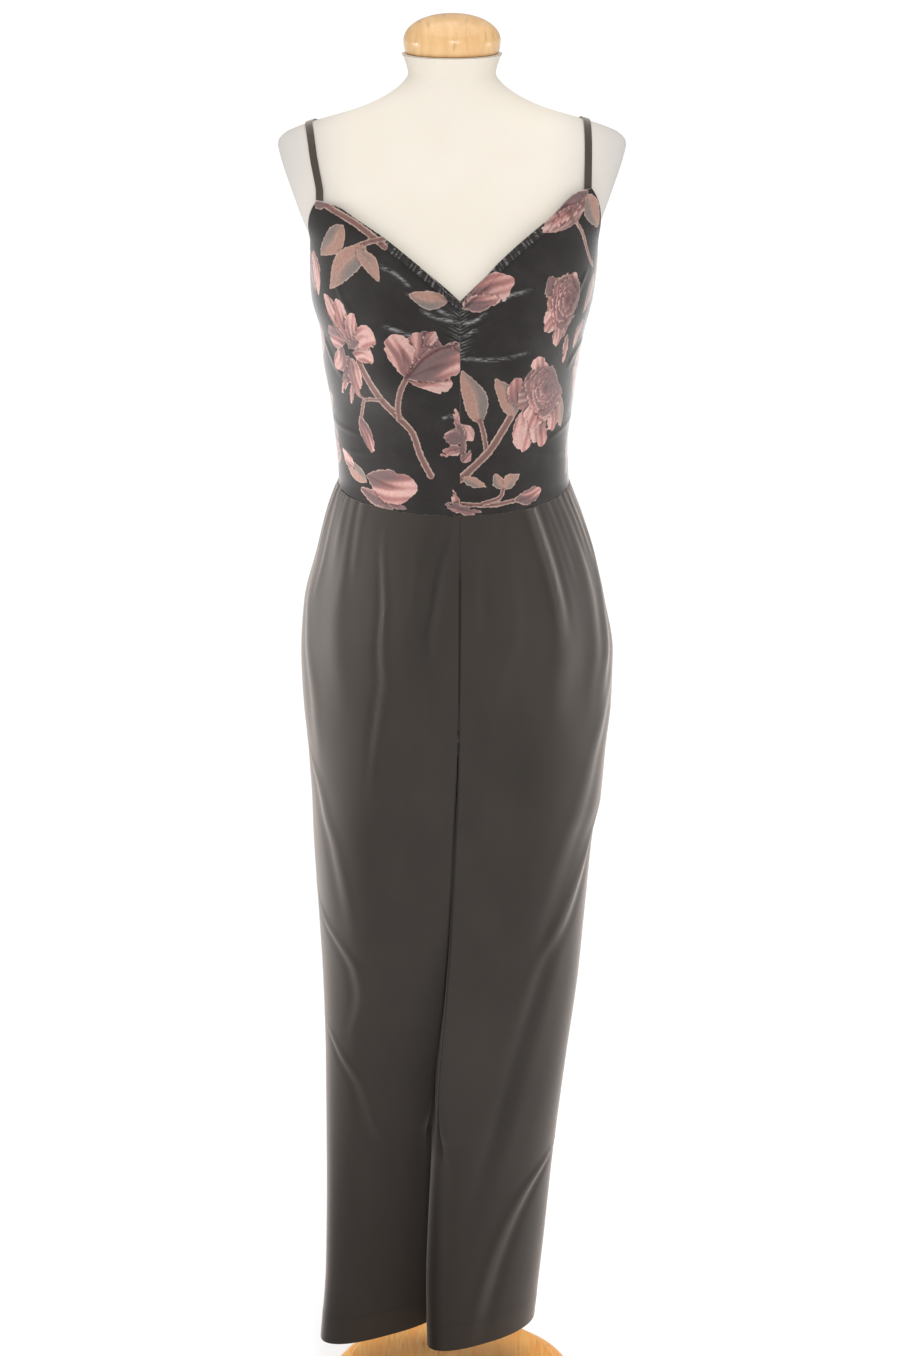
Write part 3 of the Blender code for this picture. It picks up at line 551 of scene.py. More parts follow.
# %% Where the print's flowers lie on each panel
# In drawing order, parted by semicolons: a kind, then the sizes of one or more such motifs, parted by commas.
FLOWERS = {
    "right": """
        stem 8 164 1496 150 1484 118 1467 84 1442; petal 150 1486 176 1492 26 .15;
        stem 6 84 1450 102 1446 118 1440; leaf 131 1463 168 1426 25, 106 1442 158 1390 29,
        116 1438 90 1403 18, 14 1383 58 1391 20; petal 192 1458 196 1428 14 .1, 198 1432 190 1382 22 .2,
        182 1430 184 1376 20 .9; stem 9 122 1314 105 1291 86 1267 68 1249,
        8 70 1250 54 1232 45 1206 33 1182, 7 69 1248 70 1262 67 1282 58 1304, 5 90 1271 112 1268 118 1244,
        3 110 1268 124 1274; petal 120 1246 102 1197 17 .15, 140 1318 147 1278 24 .1,
        134 1316 120 1270 24 .6, 132 1284 135 1256 9 .5, 142 1290 152 1268 10 .9,
        150 1326 166 1300 30 .5 1.5, 146 1330 180 1340 26 .45 1.4, 138 1330 168 1386 26 .6 1.3,
        136 1330 148 1382 24 .85 1.2, 132 1332 124 1368 24 .6 1.4, 132 1322 98 1318 24 .7 1.5,
        132 1334 96 1344 30 .9 1.7, 122 1336 142 1326 13 -.6, 208 1350 214 1300 24 .4,
        58 1298 34 1350 48 .15 1.7, 60 1300 76 1348 34 .95 1.8, 58 1300 -12 1340 26 0 1.1,
        60 1298 8 1290 30 1 1.5, 60 1300 -4 1322 42 .3 1.5, 42 1336 26 1350 16 .6 1.4;
        stem 2 60 1300 42 1320 24 1331 0 1339; leaf 112 1168 148 1192 18; petal 132 1182 154 1204 16 .9,
        122 1160 56 1142 16 .2, 112 1176 48 1164 42 .5 1.3, 0 1234 6 1266 10 .4, -2 1224 20 1228 22 .05,
        -4 1214 24 1205 14 .6, 2 1146 9 1167 10 .9, -4 1142 20 1150 12 .1; leaf 178 1262 214 1236 22;
        stem 6 168 1214 192 1240 206 1280; bloom 188 1196 26 .9 40 5
    """,
    "left": """
        leaf 23 1244 2 1308 28; stem 6 23 1246 27 1230 30 1210, 9 60 1256 46 1231 34 1212 19 1196 0 1178;
        leaf 62 1252 40 1300 26, 126 1272 132 1228 19; petal 78 1258 62 1300 28 .5 1.4,
        76 1262 72 1206 32 .95 1.2, 96 1262 98 1210 28 .8 1.5, 108 1264 116 1226 22 .65 1.4;
        bloom 98 1276 34 1.2 35 6, 124 1376 28 1.45 20 7; petal 120 1350 122 1326 20 .7,
        142 1340 138 1304 12 .9, 144 1500 88 1454 30 .35, 136 1486 98 1458 15 .8;
        leaf 144 1496 166 1456 21; stem 4 118 1482 138 1458 158 1426 172 1412;
        petal 2 1376 60 1408 36 .8 1.4, 4 1378 44 1388 20 .3; leaf 182 1402 168 1360 18;
        petal 176 1352 162 1318 16; stem 5 -4 1150 34 1148 66 1152, 5 26 1150 46 1156 51 1172;
        leaf 50 1166 39 1184 14, 51 1166 69 1182 15; petal 62 1151 98 1162 20 0 1.4;
        leaf 3 1180 30 1169 12; petal 0 1242 17 1222 18 .9, -3 1248 5 1196 17 .05, 2 1198 13 1214 13 .4,
        -4 1146 26 1140 12 .1; leaf 152 1186 176 1222 22; bloom 192 1286 28 1.05 15 10;
        stem 6 150 1172 172 1214 188 1262
    """,
    "back": """
        stem 8 -152 1176 -126 1226 -98 1262 -84 1300, 6 -118 1238 -146 1262 -160 1292;
        bloom -84 1314 36 1 30 11; leaf -108 1248 -70 1240 22; petal -160 1288 -172 1330 20 .6;
        leaf -146 1262 -182 1250 18, -126 1226 -160 1212 20; stem 8 4 1162 22 1202 52 1228 74 1240;
        bloom 84 1238 38 1.05 110 12; leaf 24 1204 -6 1244 24, 18 1194 44 1178 18;
        petal -34 1180 -52 1216 18 .6; stem 4 -20 1160 -34 1180 -38 1196, 7 84 1262 104 1300 134 1326;
        bloom 142 1324 27 1.2 50 13; leaf 100 1296 72 1330 23, 112 1310 110 1350 18;
        petal 4 1356 -26 1312 28 .8 1.4, 8 1356 22 1298 26 .3 1.4, 6 1354 -2 1300 24 .6 1.3;
        stem 5 4 1376 6 1364 6 1350; leaf 6 1360 44 1352 16, 168 1186 140 1214 20;
        petal -96 1170 -70 1196 22 .3 1.3; leaf 176 1252 158 1280 18
    """,
}


def motifs(rows):
    """Each motif's kind and sizes."""
    for row in rows.split(";"):
        kind, sizes = row.split(None, 1)
        for size in sizes.split(","):
            yield kind, numbers(size)


def velvet_facts(panel, across, up, crushed):
    """What the finish needs to know at each point of a panel: the print, and the painted sheen where the pile
    is crushed.
    """
    velvet = Velvet(across, up)
    for kind, sizes in motifs(FLOWERS[panel]):
        getattr(velvet, kind)(*sizes)
    return {"print_depth": velvet.edge, "print_colour": velvet.colour, "crushed": crushed}


def cloth_across(side):
    """A function from (angle, height) to millimetres along the cloth from the centre front."""
    low_z, high_z, last = 1.12, 1.52, 0.999
    angles, heights = np.meshgrid(np.linspace(0, math.pi, 181), np.linspace(low_z, high_z, 81))
    p = worn_point(SIDES[side] * angles, heights)
    steps = np.hypot(np.diff(p[..., 0], axis=1), np.diff(p[..., 1], axis=1))
    length = np.concatenate([np.zeros((81, 1)), np.cumsum(steps, 1)], 1) * 1000

    def at(angle, z):
        i = np.clip(np.abs(angle) / math.pi * 180, 0, 179 + last)
        j = np.clip((z - low_z) / (high_z - low_z) * 80, 0, 79 + last)
        i0, j0 = i.astype(int), j.astype(int)
        fi, fj = i - i0, j - j0
        low = length[j0, i0] * (1 - fi) + length[j0, i0 + 1] * fi
        high = length[j0 + 1, i0] * (1 - fi) + length[j0 + 1, i0 + 1] * fi
        return (low * (1 - fj) + high * fj) * np.where(angle * SIDES[side] < 0, -1, 1)
    return at


print("motifs:", {panel: len(list(motifs(rows))) for panel, rows in FLOWERS.items()})

# %% [markdown]
# Velvet has a short pile. It looks almost black face on and greys where it is seen along the surface,
# which the sheen part of the shader gives. Pale streaks where the pile is crushed along a crease are
# painted into its colour, partly the crushed pile's own look and partly a painted sheen. Hair could stand
# for the pile, but at this size a fine bump and a mottled colour read the same and cost nothing.

# %% The velvet's finish
def velvet_finish():
    f = Finish("printed_velvet", Sheen_Weight=1.0, Sheen_Roughness=0.38, Sheen_Tint=(0.93, 0.91, 0.90, 1),
               Specular_IOR_Level=0.12)
    place = f.place()
    mottled = f.noise(place, 38, 3, 0.6)
    pile = f.noise(place, 1500, 2, 0.6)
    nap = f.noise(f.place((90, 420, 420)), 1.0, 3, 0.65)
    ragged = (f.noise(place, 620, 2, 0.6) - 0.5) * 1.3
    depth = f.fact("print_depth") + ragged
    inside = depth.within(-0.20, 0.25)
    outline = inside * (1 - depth.within(0.55, 1.25))
    streaks = f.noise(f.place((300, 300, 300)), 1.0, 4, 0.7)
    colour = f.mix(0.30 * (streaks - 0.5).within(-0.15, 0.25), f.fact("print_colour", "Color"),
                   (0.090, 0.050, 0.048, 1))
    colour = f.mix(outline * 0.40, colour, (0.44, 0.32, 0.27, 1))
    crushed = f.fact("crushed")
    dark = f.mix(mottled.within(0.35, 0.75), (0.0200, 0.0176, 0.0168, 1), (0.027, 0.0242, 0.0232, 1))
    # Pale streaks where the pile is crushed: partly the crushed pile's own look, partly a painted sheen.
    dark = f.mix(crushed * nap.within(0.36, 0.66), dark, (0.24, 0.235, 0.232, 1))
    f.bump(pile * 0.6 + nap * 0.5, 0.0005, 0.55)
    return f.paint(Base_Color=f.mix(inside, dark, colour), Roughness=0.82 + 0.14 * mottled)


printed_velvet = velvet_finish()
print("finish:", printed_velvet.name, "nodes:", len(printed_velvet.node_tree.nodes))

# %% [markdown]
# The crepe of the trousers and straps is smooth, matt and heavy enough to hang in long soft folds. Its
# twisted yarns leave a pebbled grain finer than half a millimetre. A woven pattern could be drawn thread
# by thread, but crepe has no clear threads, so two stretched noises that follow the panel give its grain.

# %% The crepe's finish
STITCH = 0.0032
ROW_ABOVE_EDGE = 0.0015


def crepe_finish(name, painted_lightness=1.0):
    """Crepe on a panel whose place is in metres across from its inner edge and up from its hem."""
    f = Finish(name, Sheen_Weight=0.58, Sheen_Roughness=0.42, Sheen_Tint=(1.0, 0.90, 0.84, 1),
               Specular_IOR_Level=0.16)
    panel = f.fact("panel", "Vector")
    yarn = f.noise(f.place((1, 0.35, 1), source=panel), 1900, 2, 0.6)
    weft = f.noise(f.place((0.35, 1, 1), source=panel), 1900, 2, 0.6)
    cloud = f.noise(f.place((1, 1, 0.5)), 14, 3, 0.55)
    across, up = f.axis(panel, "X"), f.axis(panel, "Y")
    from_row = up - (HEM_DEPTH - ROW_ABOVE_EDGE)
    stitch_row = 1 - from_row.maths("ABSOLUTE", from_row).within(0.0003, 0.0008)
    stitches = stitch_row * (across * (math.tau / STITCH)).sine().within(-0.2, 0.3)
    # Painted shade: deep places are painted matt and dark, without sheen, where shade falls in them: the
    # centre seam above the fork, near the waist less so, and below it the fold where each leg turns inwards,
    # which is square from the shin up and rounded down to the hem.
    drawn_in = CORNER_SHARE / CORNER
    fork = FORK_TOP - HEM
    off = across * (drawn_in + (1 - drawn_in) * up.within(fork, fork + CORNER_RISE))
    above = up.within(0.808, 0.820)
    seam = (1 - off.within(0.0007, 0.0019)) * (1 - 0.7 * up.within(0.995, 1.020)) * above
    beyond = across - CORNER * QUARTER_WIDTH
    reach = 0.0004 + 0.0010 * up.within(0.40, 0.55) * (1 - up.within(0.70, 0.78))
    square = up.within(0.235, 0.285)
    corner = (1 - beyond.within(0.0002, reach)) * square * (1 - above)
    inner = (1 - beyond.within(-0.0004, 0.0002)) * square * (1 - above)
    rounded = (1 - beyond.within(-0.010, 0.006)) * (1 - square)
    painted_shade = (seam * 0.55 + rounded * 0.60
              + (corner * 0.45 + inner * 0.35) * (1 - 0.5 * up.within(0.791, 0.799)))
    grain = yarn * 0.5 + weft * 0.5
    crest = f.fact("crest")

    def shade(*colour):
        return tuple(painted_lightness * c for c in colour) + (1,)

    dark = f.mix(cloud.within(0.3, 0.7), shade(0.0245, 0.0197, 0.0164), shade(0.0300, 0.0242, 0.0203))
    dark = f.mix((grain - 0.5).within(0.0, 0.28) * 0.5, dark, shade(0.044, 0.037, 0.032))
    # Painted shade: the cloth is painted darker towards the hem.
    dark = f.mix((1 - up.within(0.0, 0.55)) * 0.52, dark, shade(0.0100, 0.0062, 0.0042))
    # Painted highlight on the crests of folds and gathers, and painted shade in their troughs.
    dark = f.mix(crest.within(0.0, 1.0) * 0.36, dark, shade(0.110, 0.096, 0.086))
    dark = f.mix((0 - crest).within(0.0, 1.0) * 0.60, dark, shade(0.0090, 0.0072, 0.0062))
    dark = f.mix(stitches * 0.8, dark, (0.004, 0.0036, 0.0033, 1))
    f.paint_shade(painted_shade, (0.0060, 0.0048, 0.0040, 1))
    f.bump(grain - stitches * 0.6, 0.00035, 0.5)
    return f.paint(Base_Color=dark, Roughness=0.58 + 0.16 * grain)


charcoal_crepe = crepe_finish("charcoal_crepe")
# The straps' crepe is the trousers' cloth painted 1.9 times lighter, a painted highlight for the light they
# catch.
strap_crepe = crepe_finish("strap_crepe", 1.9)
print("finish:", charcoal_crepe.name, "nodes:", len(charcoal_crepe.node_tree.nodes))

# %% [markdown]
# A bodice front runs from the waist seam up to the V neck, and from the centre-front seam to the side
# seam and armhole. It is one surface filled in between its four edges. The seam's top is ruched, so small
# folds run out from it, and faint drag lines cross the bust. They could come from a simulation, but drawn
# ones stay where the real ones are, from a short table of their ends.

# %% The bodice fronts
RUCHE_FOOT = 0.72
RUCHE_FOLDS = 8
RUCHE_OUT = 0.0024
RUCHE_REACH = 0.20
NARROW = 2.2
DRAG_COLUMNS = "start_across start_up end_across end_up half_width out"
DRAG_LINES = {
    "right": table(DRAG_COLUMNS, """
        44 1374 2 1357 2.2 .0011, 86 1354 36 1345 2 .001, 90 1422 54 1398 2.2 .0009,
        60 1390 8 1368 2 .0009, 20 1252 8 1251 1.4 .0005, 150 1400 118 1352 3.5 .0008,
        200 1330 150 1290 4 .0009, 188 1236 120 1222 3.6 .0007, 150 1200 64 1208 3.4 .0006
    """),
    "left": table(DRAG_COLUMNS, """
        2 1319 76 1327 2.2 .0012, 4 1376 78 1394 2 .001, 3 1360 30 1369 1.8 .0009,
        4 1348 20 1352 1.6 .0008, 160 1410 130 1350 3.5 .0008, 196 1330 150 1300 4 .0009,
        176 1240 110 1216 3.6 .0007, 140 1196 60 1206 3.4 .0006
    """),
    "back": table(DRAG_COLUMNS, """
        -176 1196 -92 1182 4.5 .001, -168 1224 -70 1204 4 .0008, -60 1176 10 1190 5 .0008,
        176 1192 100 1180 4.5 .001, 170 1228 84 1202 4 .0008, 40 1184 96 1214 5 .0007,
        -186 1330 -120 1300 5 .0009, 188 1328 124 1296 5 .0009
    """),
}


def drag(panel, across, up):
    """How far a panel's drag lines stand out, and how much painted sheen of crushed pile lies along the
    narrow ones.
    """
    lift, crushed = 0.0 * across, 0.0 * across
    for x0, y0, x1, y1, width, out in zip(*DRAG_LINES[panel].values()):
        length = math.hypot(x1 - x0, y1 - y0)
        along = ((across - x0) * (x1 - x0) + (up - y0) * (y1 - y0)) / length ** 2
        off = ((across - x0) * (y1 - y0) - (up - y0) * (x1 - x0)) / length
        off = off + (2 * np.sin(along * 4) if panel == "back" else 1.6 * np.sin(along * 5 + x0))
        ends = smooth(along * 4 + 0.3) * smooth((1.1 - along) * 3)
        lift = lift + out * bell(off, width) * ends
        if width <= NARROW:
            crushed = crushed + bell(off - 0.4, 1.7) * ends
    return lift, np.clip(crushed, 0, 1)


def angle_at(x, z, side):
    """The angle at which the front is x away from the centre front, at height z."""
    edge = read(GARMENT, side, z)
    share = np.clip(x / (edge - SIDES[side] * FRONT_X), 0, 0.999) ** read(GARMENT, "power", z)
    return np.arctan((share / (1 - share)) ** (1 / read(GARMENT, "power", z)))


def front_place(side):
    """A front's shares (u from the centre front, v from the waist) as an angle and a height."""
    sign = SIDES[side]
    edge_gap = SEAM / 5 / BODICE_RADIUS
    foot = waist_at(0.0) + SEAM / 2

    def bottom(u):
        angle = QUARTER_TURN * u
        return sign * (edge_gap + (1 - 2 * edge_gap / QUARTER_TURN) * angle), waist_at(angle) + SEAM / 2

    def top(u):
        z = read(NECKLINE, side + "_z", u, "share")
        x = read(NECKLINE, side + "_x", u, "share")
        return sign * np.maximum(angle_at(x, z, side), edge_gap), z

    def inner(v):
        return sign * (edge_gap + 0 * v), foot + (V_POINT - foot) * v

    def outer(v):
        seam_z = WAIST + SEAM / 2 + (UNDERARM - WAIST - SEAM / 2) * v / UNDERARM_SHARE
        share = np.clip((v - UNDERARM_SHARE) / (1 - UNDERARM_SHARE), 0, 1)
        above = v > UNDERARM_SHARE
        angle = np.where(above, np.radians(read(ARMHOLE, "angle", share, "share")), QUARTER_TURN)
        last = angle_at(NECKLINE[side + "_x"][-1], NECKLINE[side + "_z"][-1], side)
        angle = np.where(above, angle + share ** 3 * (last - np.radians(ARMHOLE["angle"][-1])), angle)
        return sign * (angle - edge_gap), np.where(above, read(ARMHOLE, side + "_z", share, "share"), seam_z)

    def place(u, v):
        low, high, near, far = bottom(u), top(u), inner(v), outer(v)
        corners = ((bottom(0.0), (1 - u) * (1 - v)), (bottom(1.0), u * (1 - v)),
                   (top(0.0), (1 - u) * v), (top(1.0), u * v))
        return [(1 - v) * low[k] + v * high[k] + (1 - u) * near[k] + u * far[k]
                - sum(corner[k] * weight for corner, weight in corners) for k in (0, 1)]
    return place


def front_lift(side):
    """How far a front's ruching and drag lines stand out from its smooth face."""
    place, measure = front_place(side), cloth_across(side)

    def lift(u, v):
        angle, z = place(u, v)
        turns = (v - RUCHE_FOOT) / (1 - RUCHE_FOOT) * RUCHE_FOLDS
        turns = turns + 0.22 * np.sin(turns * 1.7) + 0.6 * np.clip(u, 0, 1)
        reach = RUCHE_REACH * (0.75 + 0.35 * np.sin(np.floor(turns) * 2.4))
        ruche = RUCHE_OUT * wave(turns) * bell(np.clip(u, 0, 1), reach) * smooth((v - RUCHE_FOOT) * 12)
        return ruche + drag(side, measure(angle, z), z * 1000)[0]
    return lift


def front_surface(side):
    """A front's outer face, ruching and drag lines included."""
    place = front_place(side)
    return raised(lambda u, v: worn_point(*place(u, v)), front_lift(side), SIDES[side], level=1.0)


def front_facts(side, place):
    """The print and the painted sheen of crushed pile at a front's shares, which place turns into an angle
    and a height.
    """
    measure = cloth_across(side)

    def facts(u, v):
        angle, z = place(u, v)
        across, up = measure(angle, z), z * 1000
        # Painted sheen along the ruching at the centre front and along the narrow drag lines.
        ruched = bell(np.clip(u, 0, 1), 0.05) * (v > RUCHE_FOOT + 0.02)
        turns = (v - RUCHE_FOOT) / (1 - RUCHE_FOOT) * RUCHE_FOLDS * 2.3
        crushed = np.clip(drag(side, across, up)[1] + ruched * wave(turns) ** 4, 0, 1)
        return velvet_facts(side, across, up, crushed)
    return facts


for side, sign in SIDES.items():
    piece = cloth_wall("velvet_front_" + side, front_surface(side), 150, 236, VELVET, sign,
                       front_facts(side, front_place(side)))
    dress(piece, "bodice_front_" + side, printed_velvet)

# %% [markdown]
# The edge of the V neck is turned into a narrow casing, drawn up so that it puckers. It could be part of
# the front's own grid, but a sewn casing is a second layer with its own edges, so it is a thin strip laid
# on the front's top edge, with puckers of uneven width.

# %% The casing along the V neck
PUCKERS = 26
PUCKER = 0.0007
BAND_START, BAND_END = 0.015, 0.925


def band_parts(side):
    """A casing's strip and its facts: u runs from the V to the strap, v up to the neck's edge."""
    sign, place, front = SIDES[side], front_place(side), front_surface(side)
    near_edge = 0.03

    def share_up(u, v):
        run = np.linalg.norm(front(u, 1.0 + 0 * u) - front(u, 1.0 - near_edge + 0 * u), axis=-1)
        return 1 - (1 - v) * BAND / (run / near_edge)

    def strip(u, v):
        u = BAND_START + (BAND_END - BAND_START) * u
        at = share_up(u, v)
        turns = PUCKERS * (u - BAND_START) / (BAND_END - BAND_START)
        turns = turns + 0.3 * np.sin(turns * 1.9) + 0.10 * np.sin(v * 5)
        roll = 0.0004 * wave(np.clip(v, 0, 1) * 0.9 + 0.05)
        lift = BAND_CLEAR + VELVET + roll + PUCKER * wave(turns) * (0.35 + 0.65 * v)
        return front(u, at) + sign * normals(front, u, at) * lift[..., None]

    def banded_place(u, v):
        u = BAND_START + (BAND_END - BAND_START) * u
        return place(u, share_up(u, v))

    front_at = front_facts(side, banded_place)

    def facts(u, v):
        found = front_at(u, v)
        turns = PUCKERS * u + 0.3 * np.sin(PUCKERS * u * 1.9)
        # Painted sheen on the crests of the casing's puckers.
        found["crushed"] = np.clip(wave(turns + 0.12) ** 5 * (0.45 + 0.4 * wave(turns * 0.31)), 0, 1)
        return found
    return strip, facts


for side, sign in SIDES.items():
    strip, facts = band_parts(side)
    piece = cloth_wall("neck_casing_" + side, strip, 320, 10, VELVET, sign, facts)
    dress(piece, "neck_band_" + side, printed_velvet)

# %% [markdown]
# The back is one panel from side seam to side seam, a little higher between the straps. It could be cut
# in two for a zip, but one panel is the plainest back that closes the bodice. It has only the soft drag
# lines that such a back has at the waist, and the print runs on round it.

# %% The bodice back
back_lengths = {side: cloth_across(side) for side in SIDES}


def back_place(u, v):
    gap = SEAM / 2 / BODICE_RADIUS
    angle = QUARTER_TURN + gap + (2 * QUARTER_TURN - 2 * gap) * u
    top = UNDERARM + (BACK_TOP - UNDERARM) * np.sin(math.pi * np.clip(u, 0, 1)) ** 2
    z = WAIST + SEAM / 2 + (top - WAIST - SEAM / 2) * v
    return np.where(angle > math.pi, angle - math.tau, angle), z


def back_flat(angle, z):
    """Millimetres from the centre back, positive towards the wearer's left, and up."""
    left = back_lengths["left"](math.pi + 0 * z, z) - back_lengths["left"](np.abs(angle), z)
    right = back_lengths["right"](-math.pi + 0 * z, z) - back_lengths["right"](-np.abs(angle), z)
    return np.where(angle > 0, left, -right), z * 1000


def back_lift(u, v):
    return drag("back", *back_flat(*back_place(u, v)))[0] * smooth(u * 20) * smooth((1 - u) * 20)


def back_facts(u, v):
    across, up = back_flat(*back_place(u, v))
    return velvet_facts("back", across, up, 0 * up)


back_surface = raised(lambda u, v: worn_point(*back_place(u, v)), back_lift, 1, level=1.0)
velvet_back = dress(cloth_wall("velvet_back", back_surface, 220, 116, VELVET, 1, back_facts),
                    "bodice_back", printed_velvet)

# %% [markdown]
# The straps are narrow folded strips that run from the top of each front over the shoulder to the back. A
# curve with a bevel could stand for them, but its ends would twist, so each is a flat wall that is laid
# on the form by looking outwards from a point inside the shoulder, a little clear of the jersey.

# %% The straps
FARTHEST = 0.300


def form_reach(x, turn):
    """Distance from the strap's hub at x to the form's surface at a turn from forward, by halving."""
    near, far = np.zeros_like(turn), np.full_like(turn, FARTHEST)
    for _ in range(40):
        middle = (near + far) / 2
        y, z = -middle * np.cos(turn), STRAP_HUB + middle * np.sin(turn)
        depth = np.where(y < 0, read(FORM, "front", z), read(FORM, "back", z))
        power = read(FORM, "power", z)
        width = read(FORM, "half_width", z)
        outside = (np.abs(x) / width) ** power + (np.abs(y) / depth) ** power > 1
        near, far = np.where(outside, near, middle), np.where(outside, middle, far)
    return near


def strap_surface(side):
    """A strap's outer face: u runs across it, v from the front's top over the shoulder to the back."""
    def strap(u, v):
        turn = np.radians(STRAP_START[side] + (STRAP_END - STRAP_START[side]) * v)
        x = read(STRAPS, side + "_x", np.degrees(turn), "turn") + (u - 0.5) * STRAP_WIDTH
        ends = np.clip(1 - v / STRAP_RISE, 0, 1) + np.clip((v - 1) / STRAP_RISE + 1, 0, 1)
        reach = form_reach(x, turn) + STRAP_CLEAR + STRAP_WALL + STRAP_STAND * smooth(ends)
        return np.stack([SIDES[side] * x, -reach * np.cos(turn), STRAP_HUB + reach * np.sin(turn)], -1)
    return strap


def strap_facts(u, v):
    """A strap's place in the crepe, clear of the finish's hem and seams."""
    return {"panel": np.stack([0.1 + u * STRAP_WIDTH, 0.6 + v * 0.4, 0 * u], -1)}


for side, sign in SIDES.items():
    piece = cloth_wall("shoulder_strap_" + side, strap_surface(side), 8, 160, STRAP_WALL, sign, strap_facts)
    dress(piece, "strap_" + side, strap_crepe)

# %% [markdown]
# Each trouser quarter runs from the hem to the waist seam. Above the thigh it follows the hip, and below
# the fork it turns into half a leg. Gathers spread from the waist seam, long folds fall from the hip and
# knee, and the hem is turned up and stitched. The solids have the largest folds. A cloth simulation could
# add finer ones, but not each in its own place, so all of them come here from one table of ways, widths
# and heights, uneven as real ones are, troughs as well as ridges.

# %% The trousers' folds
FOLD_OUT = 0.00052
FOLD_WIDTH = 1.3
HEM_OUT = 0.0004
CENTRE_IN = 0.0009
SIDE_IN = 0.0006
SEAM_WIDTH = 0.0022
COLUMNS = table("at u", f"0 0, .04 .012, .12 .1035, .15 {CORNER}, .18 .1105, .25 .135, .95 .985, 1 1")
GATHERS = {
    ("front", "right"): (0.48, 0.98, 17, 0.0010, 0.028),
    ("front", "left"): (0.40, 0.96, 18, 0.0008, 0.024),
    ("back", "right"): (0.24, 0.72, 16, 0.0010, 0.028),
    ("back", "left"): (0.24, 0.72, 16, 0.0010, 0.028),
}
# Each fold: half width, which FOLD_WIDTH turns into millimetres; height, which FOLD_OUT turns into metres
# (below zero a trough); a trough beside it as a share of its height; then its way down by pairs of share
# across from the inner edge and height above the floor.
FOLDS = {
    ("front", "right"): """
        5 -5 -.5 .03 1.15 .051 1.128 .1 1.08 .118 1.033 .15 .968,
        2.6 2.4 .8 .355 1.1 .3 1 .312 .95 .35 .905 .372 .83, 3 .6 .5 .2 1.1 .18 1.01,
        13 4.4 .3 .68 1.15 .61 1.075 .55 1.008 .515 .905, 8 2.8 .5 .83 1.04 .755 .975 .69 .918 .665 .85,
        7 3.2 .6 .86 .85 .69 .81 .63 .771 .56 .734 .485 .64,
        6 3 .6 .9 .668 .735 .637 .57 .608 .47 .577 .445 .544 .505 .494,
        6 2.8 .6 .9 .5 .715 .485 .565 .454 .45 .423 .38 .37 .3 .34, 9 -1.4 0 .52 .33 .42 .2 .38 .11,
        4 1.5 .5 .52 1.17 .505 1.12 .49 1.06, 5 1.7 .5 .59 1.17 .57 1.12 .54 1.03,
        4 1.4 .5 .655 1.17 .64 1.13 .63 1.085, 5 1.9 .5 .76 1.17 .75 1.12 .74 1.03,
        4 1.5 .5 .86 1.17 .865 1.12 .87 1.06
    """,
    ("front", "left"): """
        4 1.8 .5 .082 1.095 .08 1.01, 6 1.1 .4 .23 1.11 .25 1 .24 .92,
        12 6.2 .3 .395 1.18 .45 1.098 .48 1.034 .5 .973 .52 .88,
        5 5.8 .9 .375 1.185 .415 1.12 .447 1.06 .465 1,
        9 4.6 .5 .93 1.12 .9 1.074 .835 1.007 .74 .929 .72 .89, 8 3 .4 .69 1.09 .7 1.03 .67 .96 .64 .9,
        9 3.4 .5 .85 .93 .715 .87 .625 .802 .565 .744 .5 .67,
        8 4 .6 .86 .77 .7 .696 .58 .635 .47 .588 .39 .505,
        10 -3.8 .4 .56 .7 .46 .551 .405 .461 .34 .381 .225 .25,
        8 4.2 .6 .99 .33 .705 .309 .54 .278 .425 .23 .355 .179 .275 .095,
        4 1.6 .5 .5 1.17 .545 1.12 .585 1.05, 4 1.4 .5 .56 1.17 .59 1.13 .61 1.085,
        5 1.7 .5 .62 1.17 .66 1.12 .7 1.05, 4 1.5 .5 .69 1.17 .73 1.125 .76 1.08,
        5 1.6 .5 .76 1.17 .8 1.12 .84 1.06
    """,
    ("back", "right"): """
        12 3.8 .3 .3 1.13 .33 1 .34 .86, 9 3 .5 .62 1.11 .64 1.02 .6 .92,
        10 -3.6 .4 .9 .83 .74 .68 .54 .48, 11 4 .3 .34 .66 .42 .45 .44 .23,
        7 2.8 .5 .95 .62 .78 .56 .62 .43, 7 2.6 .5 .92 .42 .76 .34 .64 .2, 6 2 .5 .18 .86 .3 .8 .48 .77,
        5 2.6 .5 .36 1.17 .37 1.11 .385 1.06, 5 2.4 .5 .46 1.17 .48 1.11 .5 1.03,
        4 2.2 .5 .55 1.17 .58 1.12 .6 1.07
    """,
    ("back", "left"): """
        12 3.8 .3 .34 1.13 .35 1 .36 .85, 9 2.8 .5 .66 1.1 .7 1 .66 .88, 10 -3.6 .4 .4 .8 .5 .62 .62 .42,
        11 4 .3 .5 .52 .43 .36 .36 .16, 7 2.8 .5 .93 .76 .8 .68 .7 .56, 7 2.6 .5 .96 .35 .78 .29 .62 .14,
        6 2 .5 .16 .85 .29 .8 .45 .78, 5 2.6 .5 .35 1.17 .37 1.11 .375 1.06,
        5 2.4 .5 .45 1.17 .49 1.11 .52 1.04, 4 2.2 .5 .57 1.17 .6 1.12 .63 1.07
    """,
}


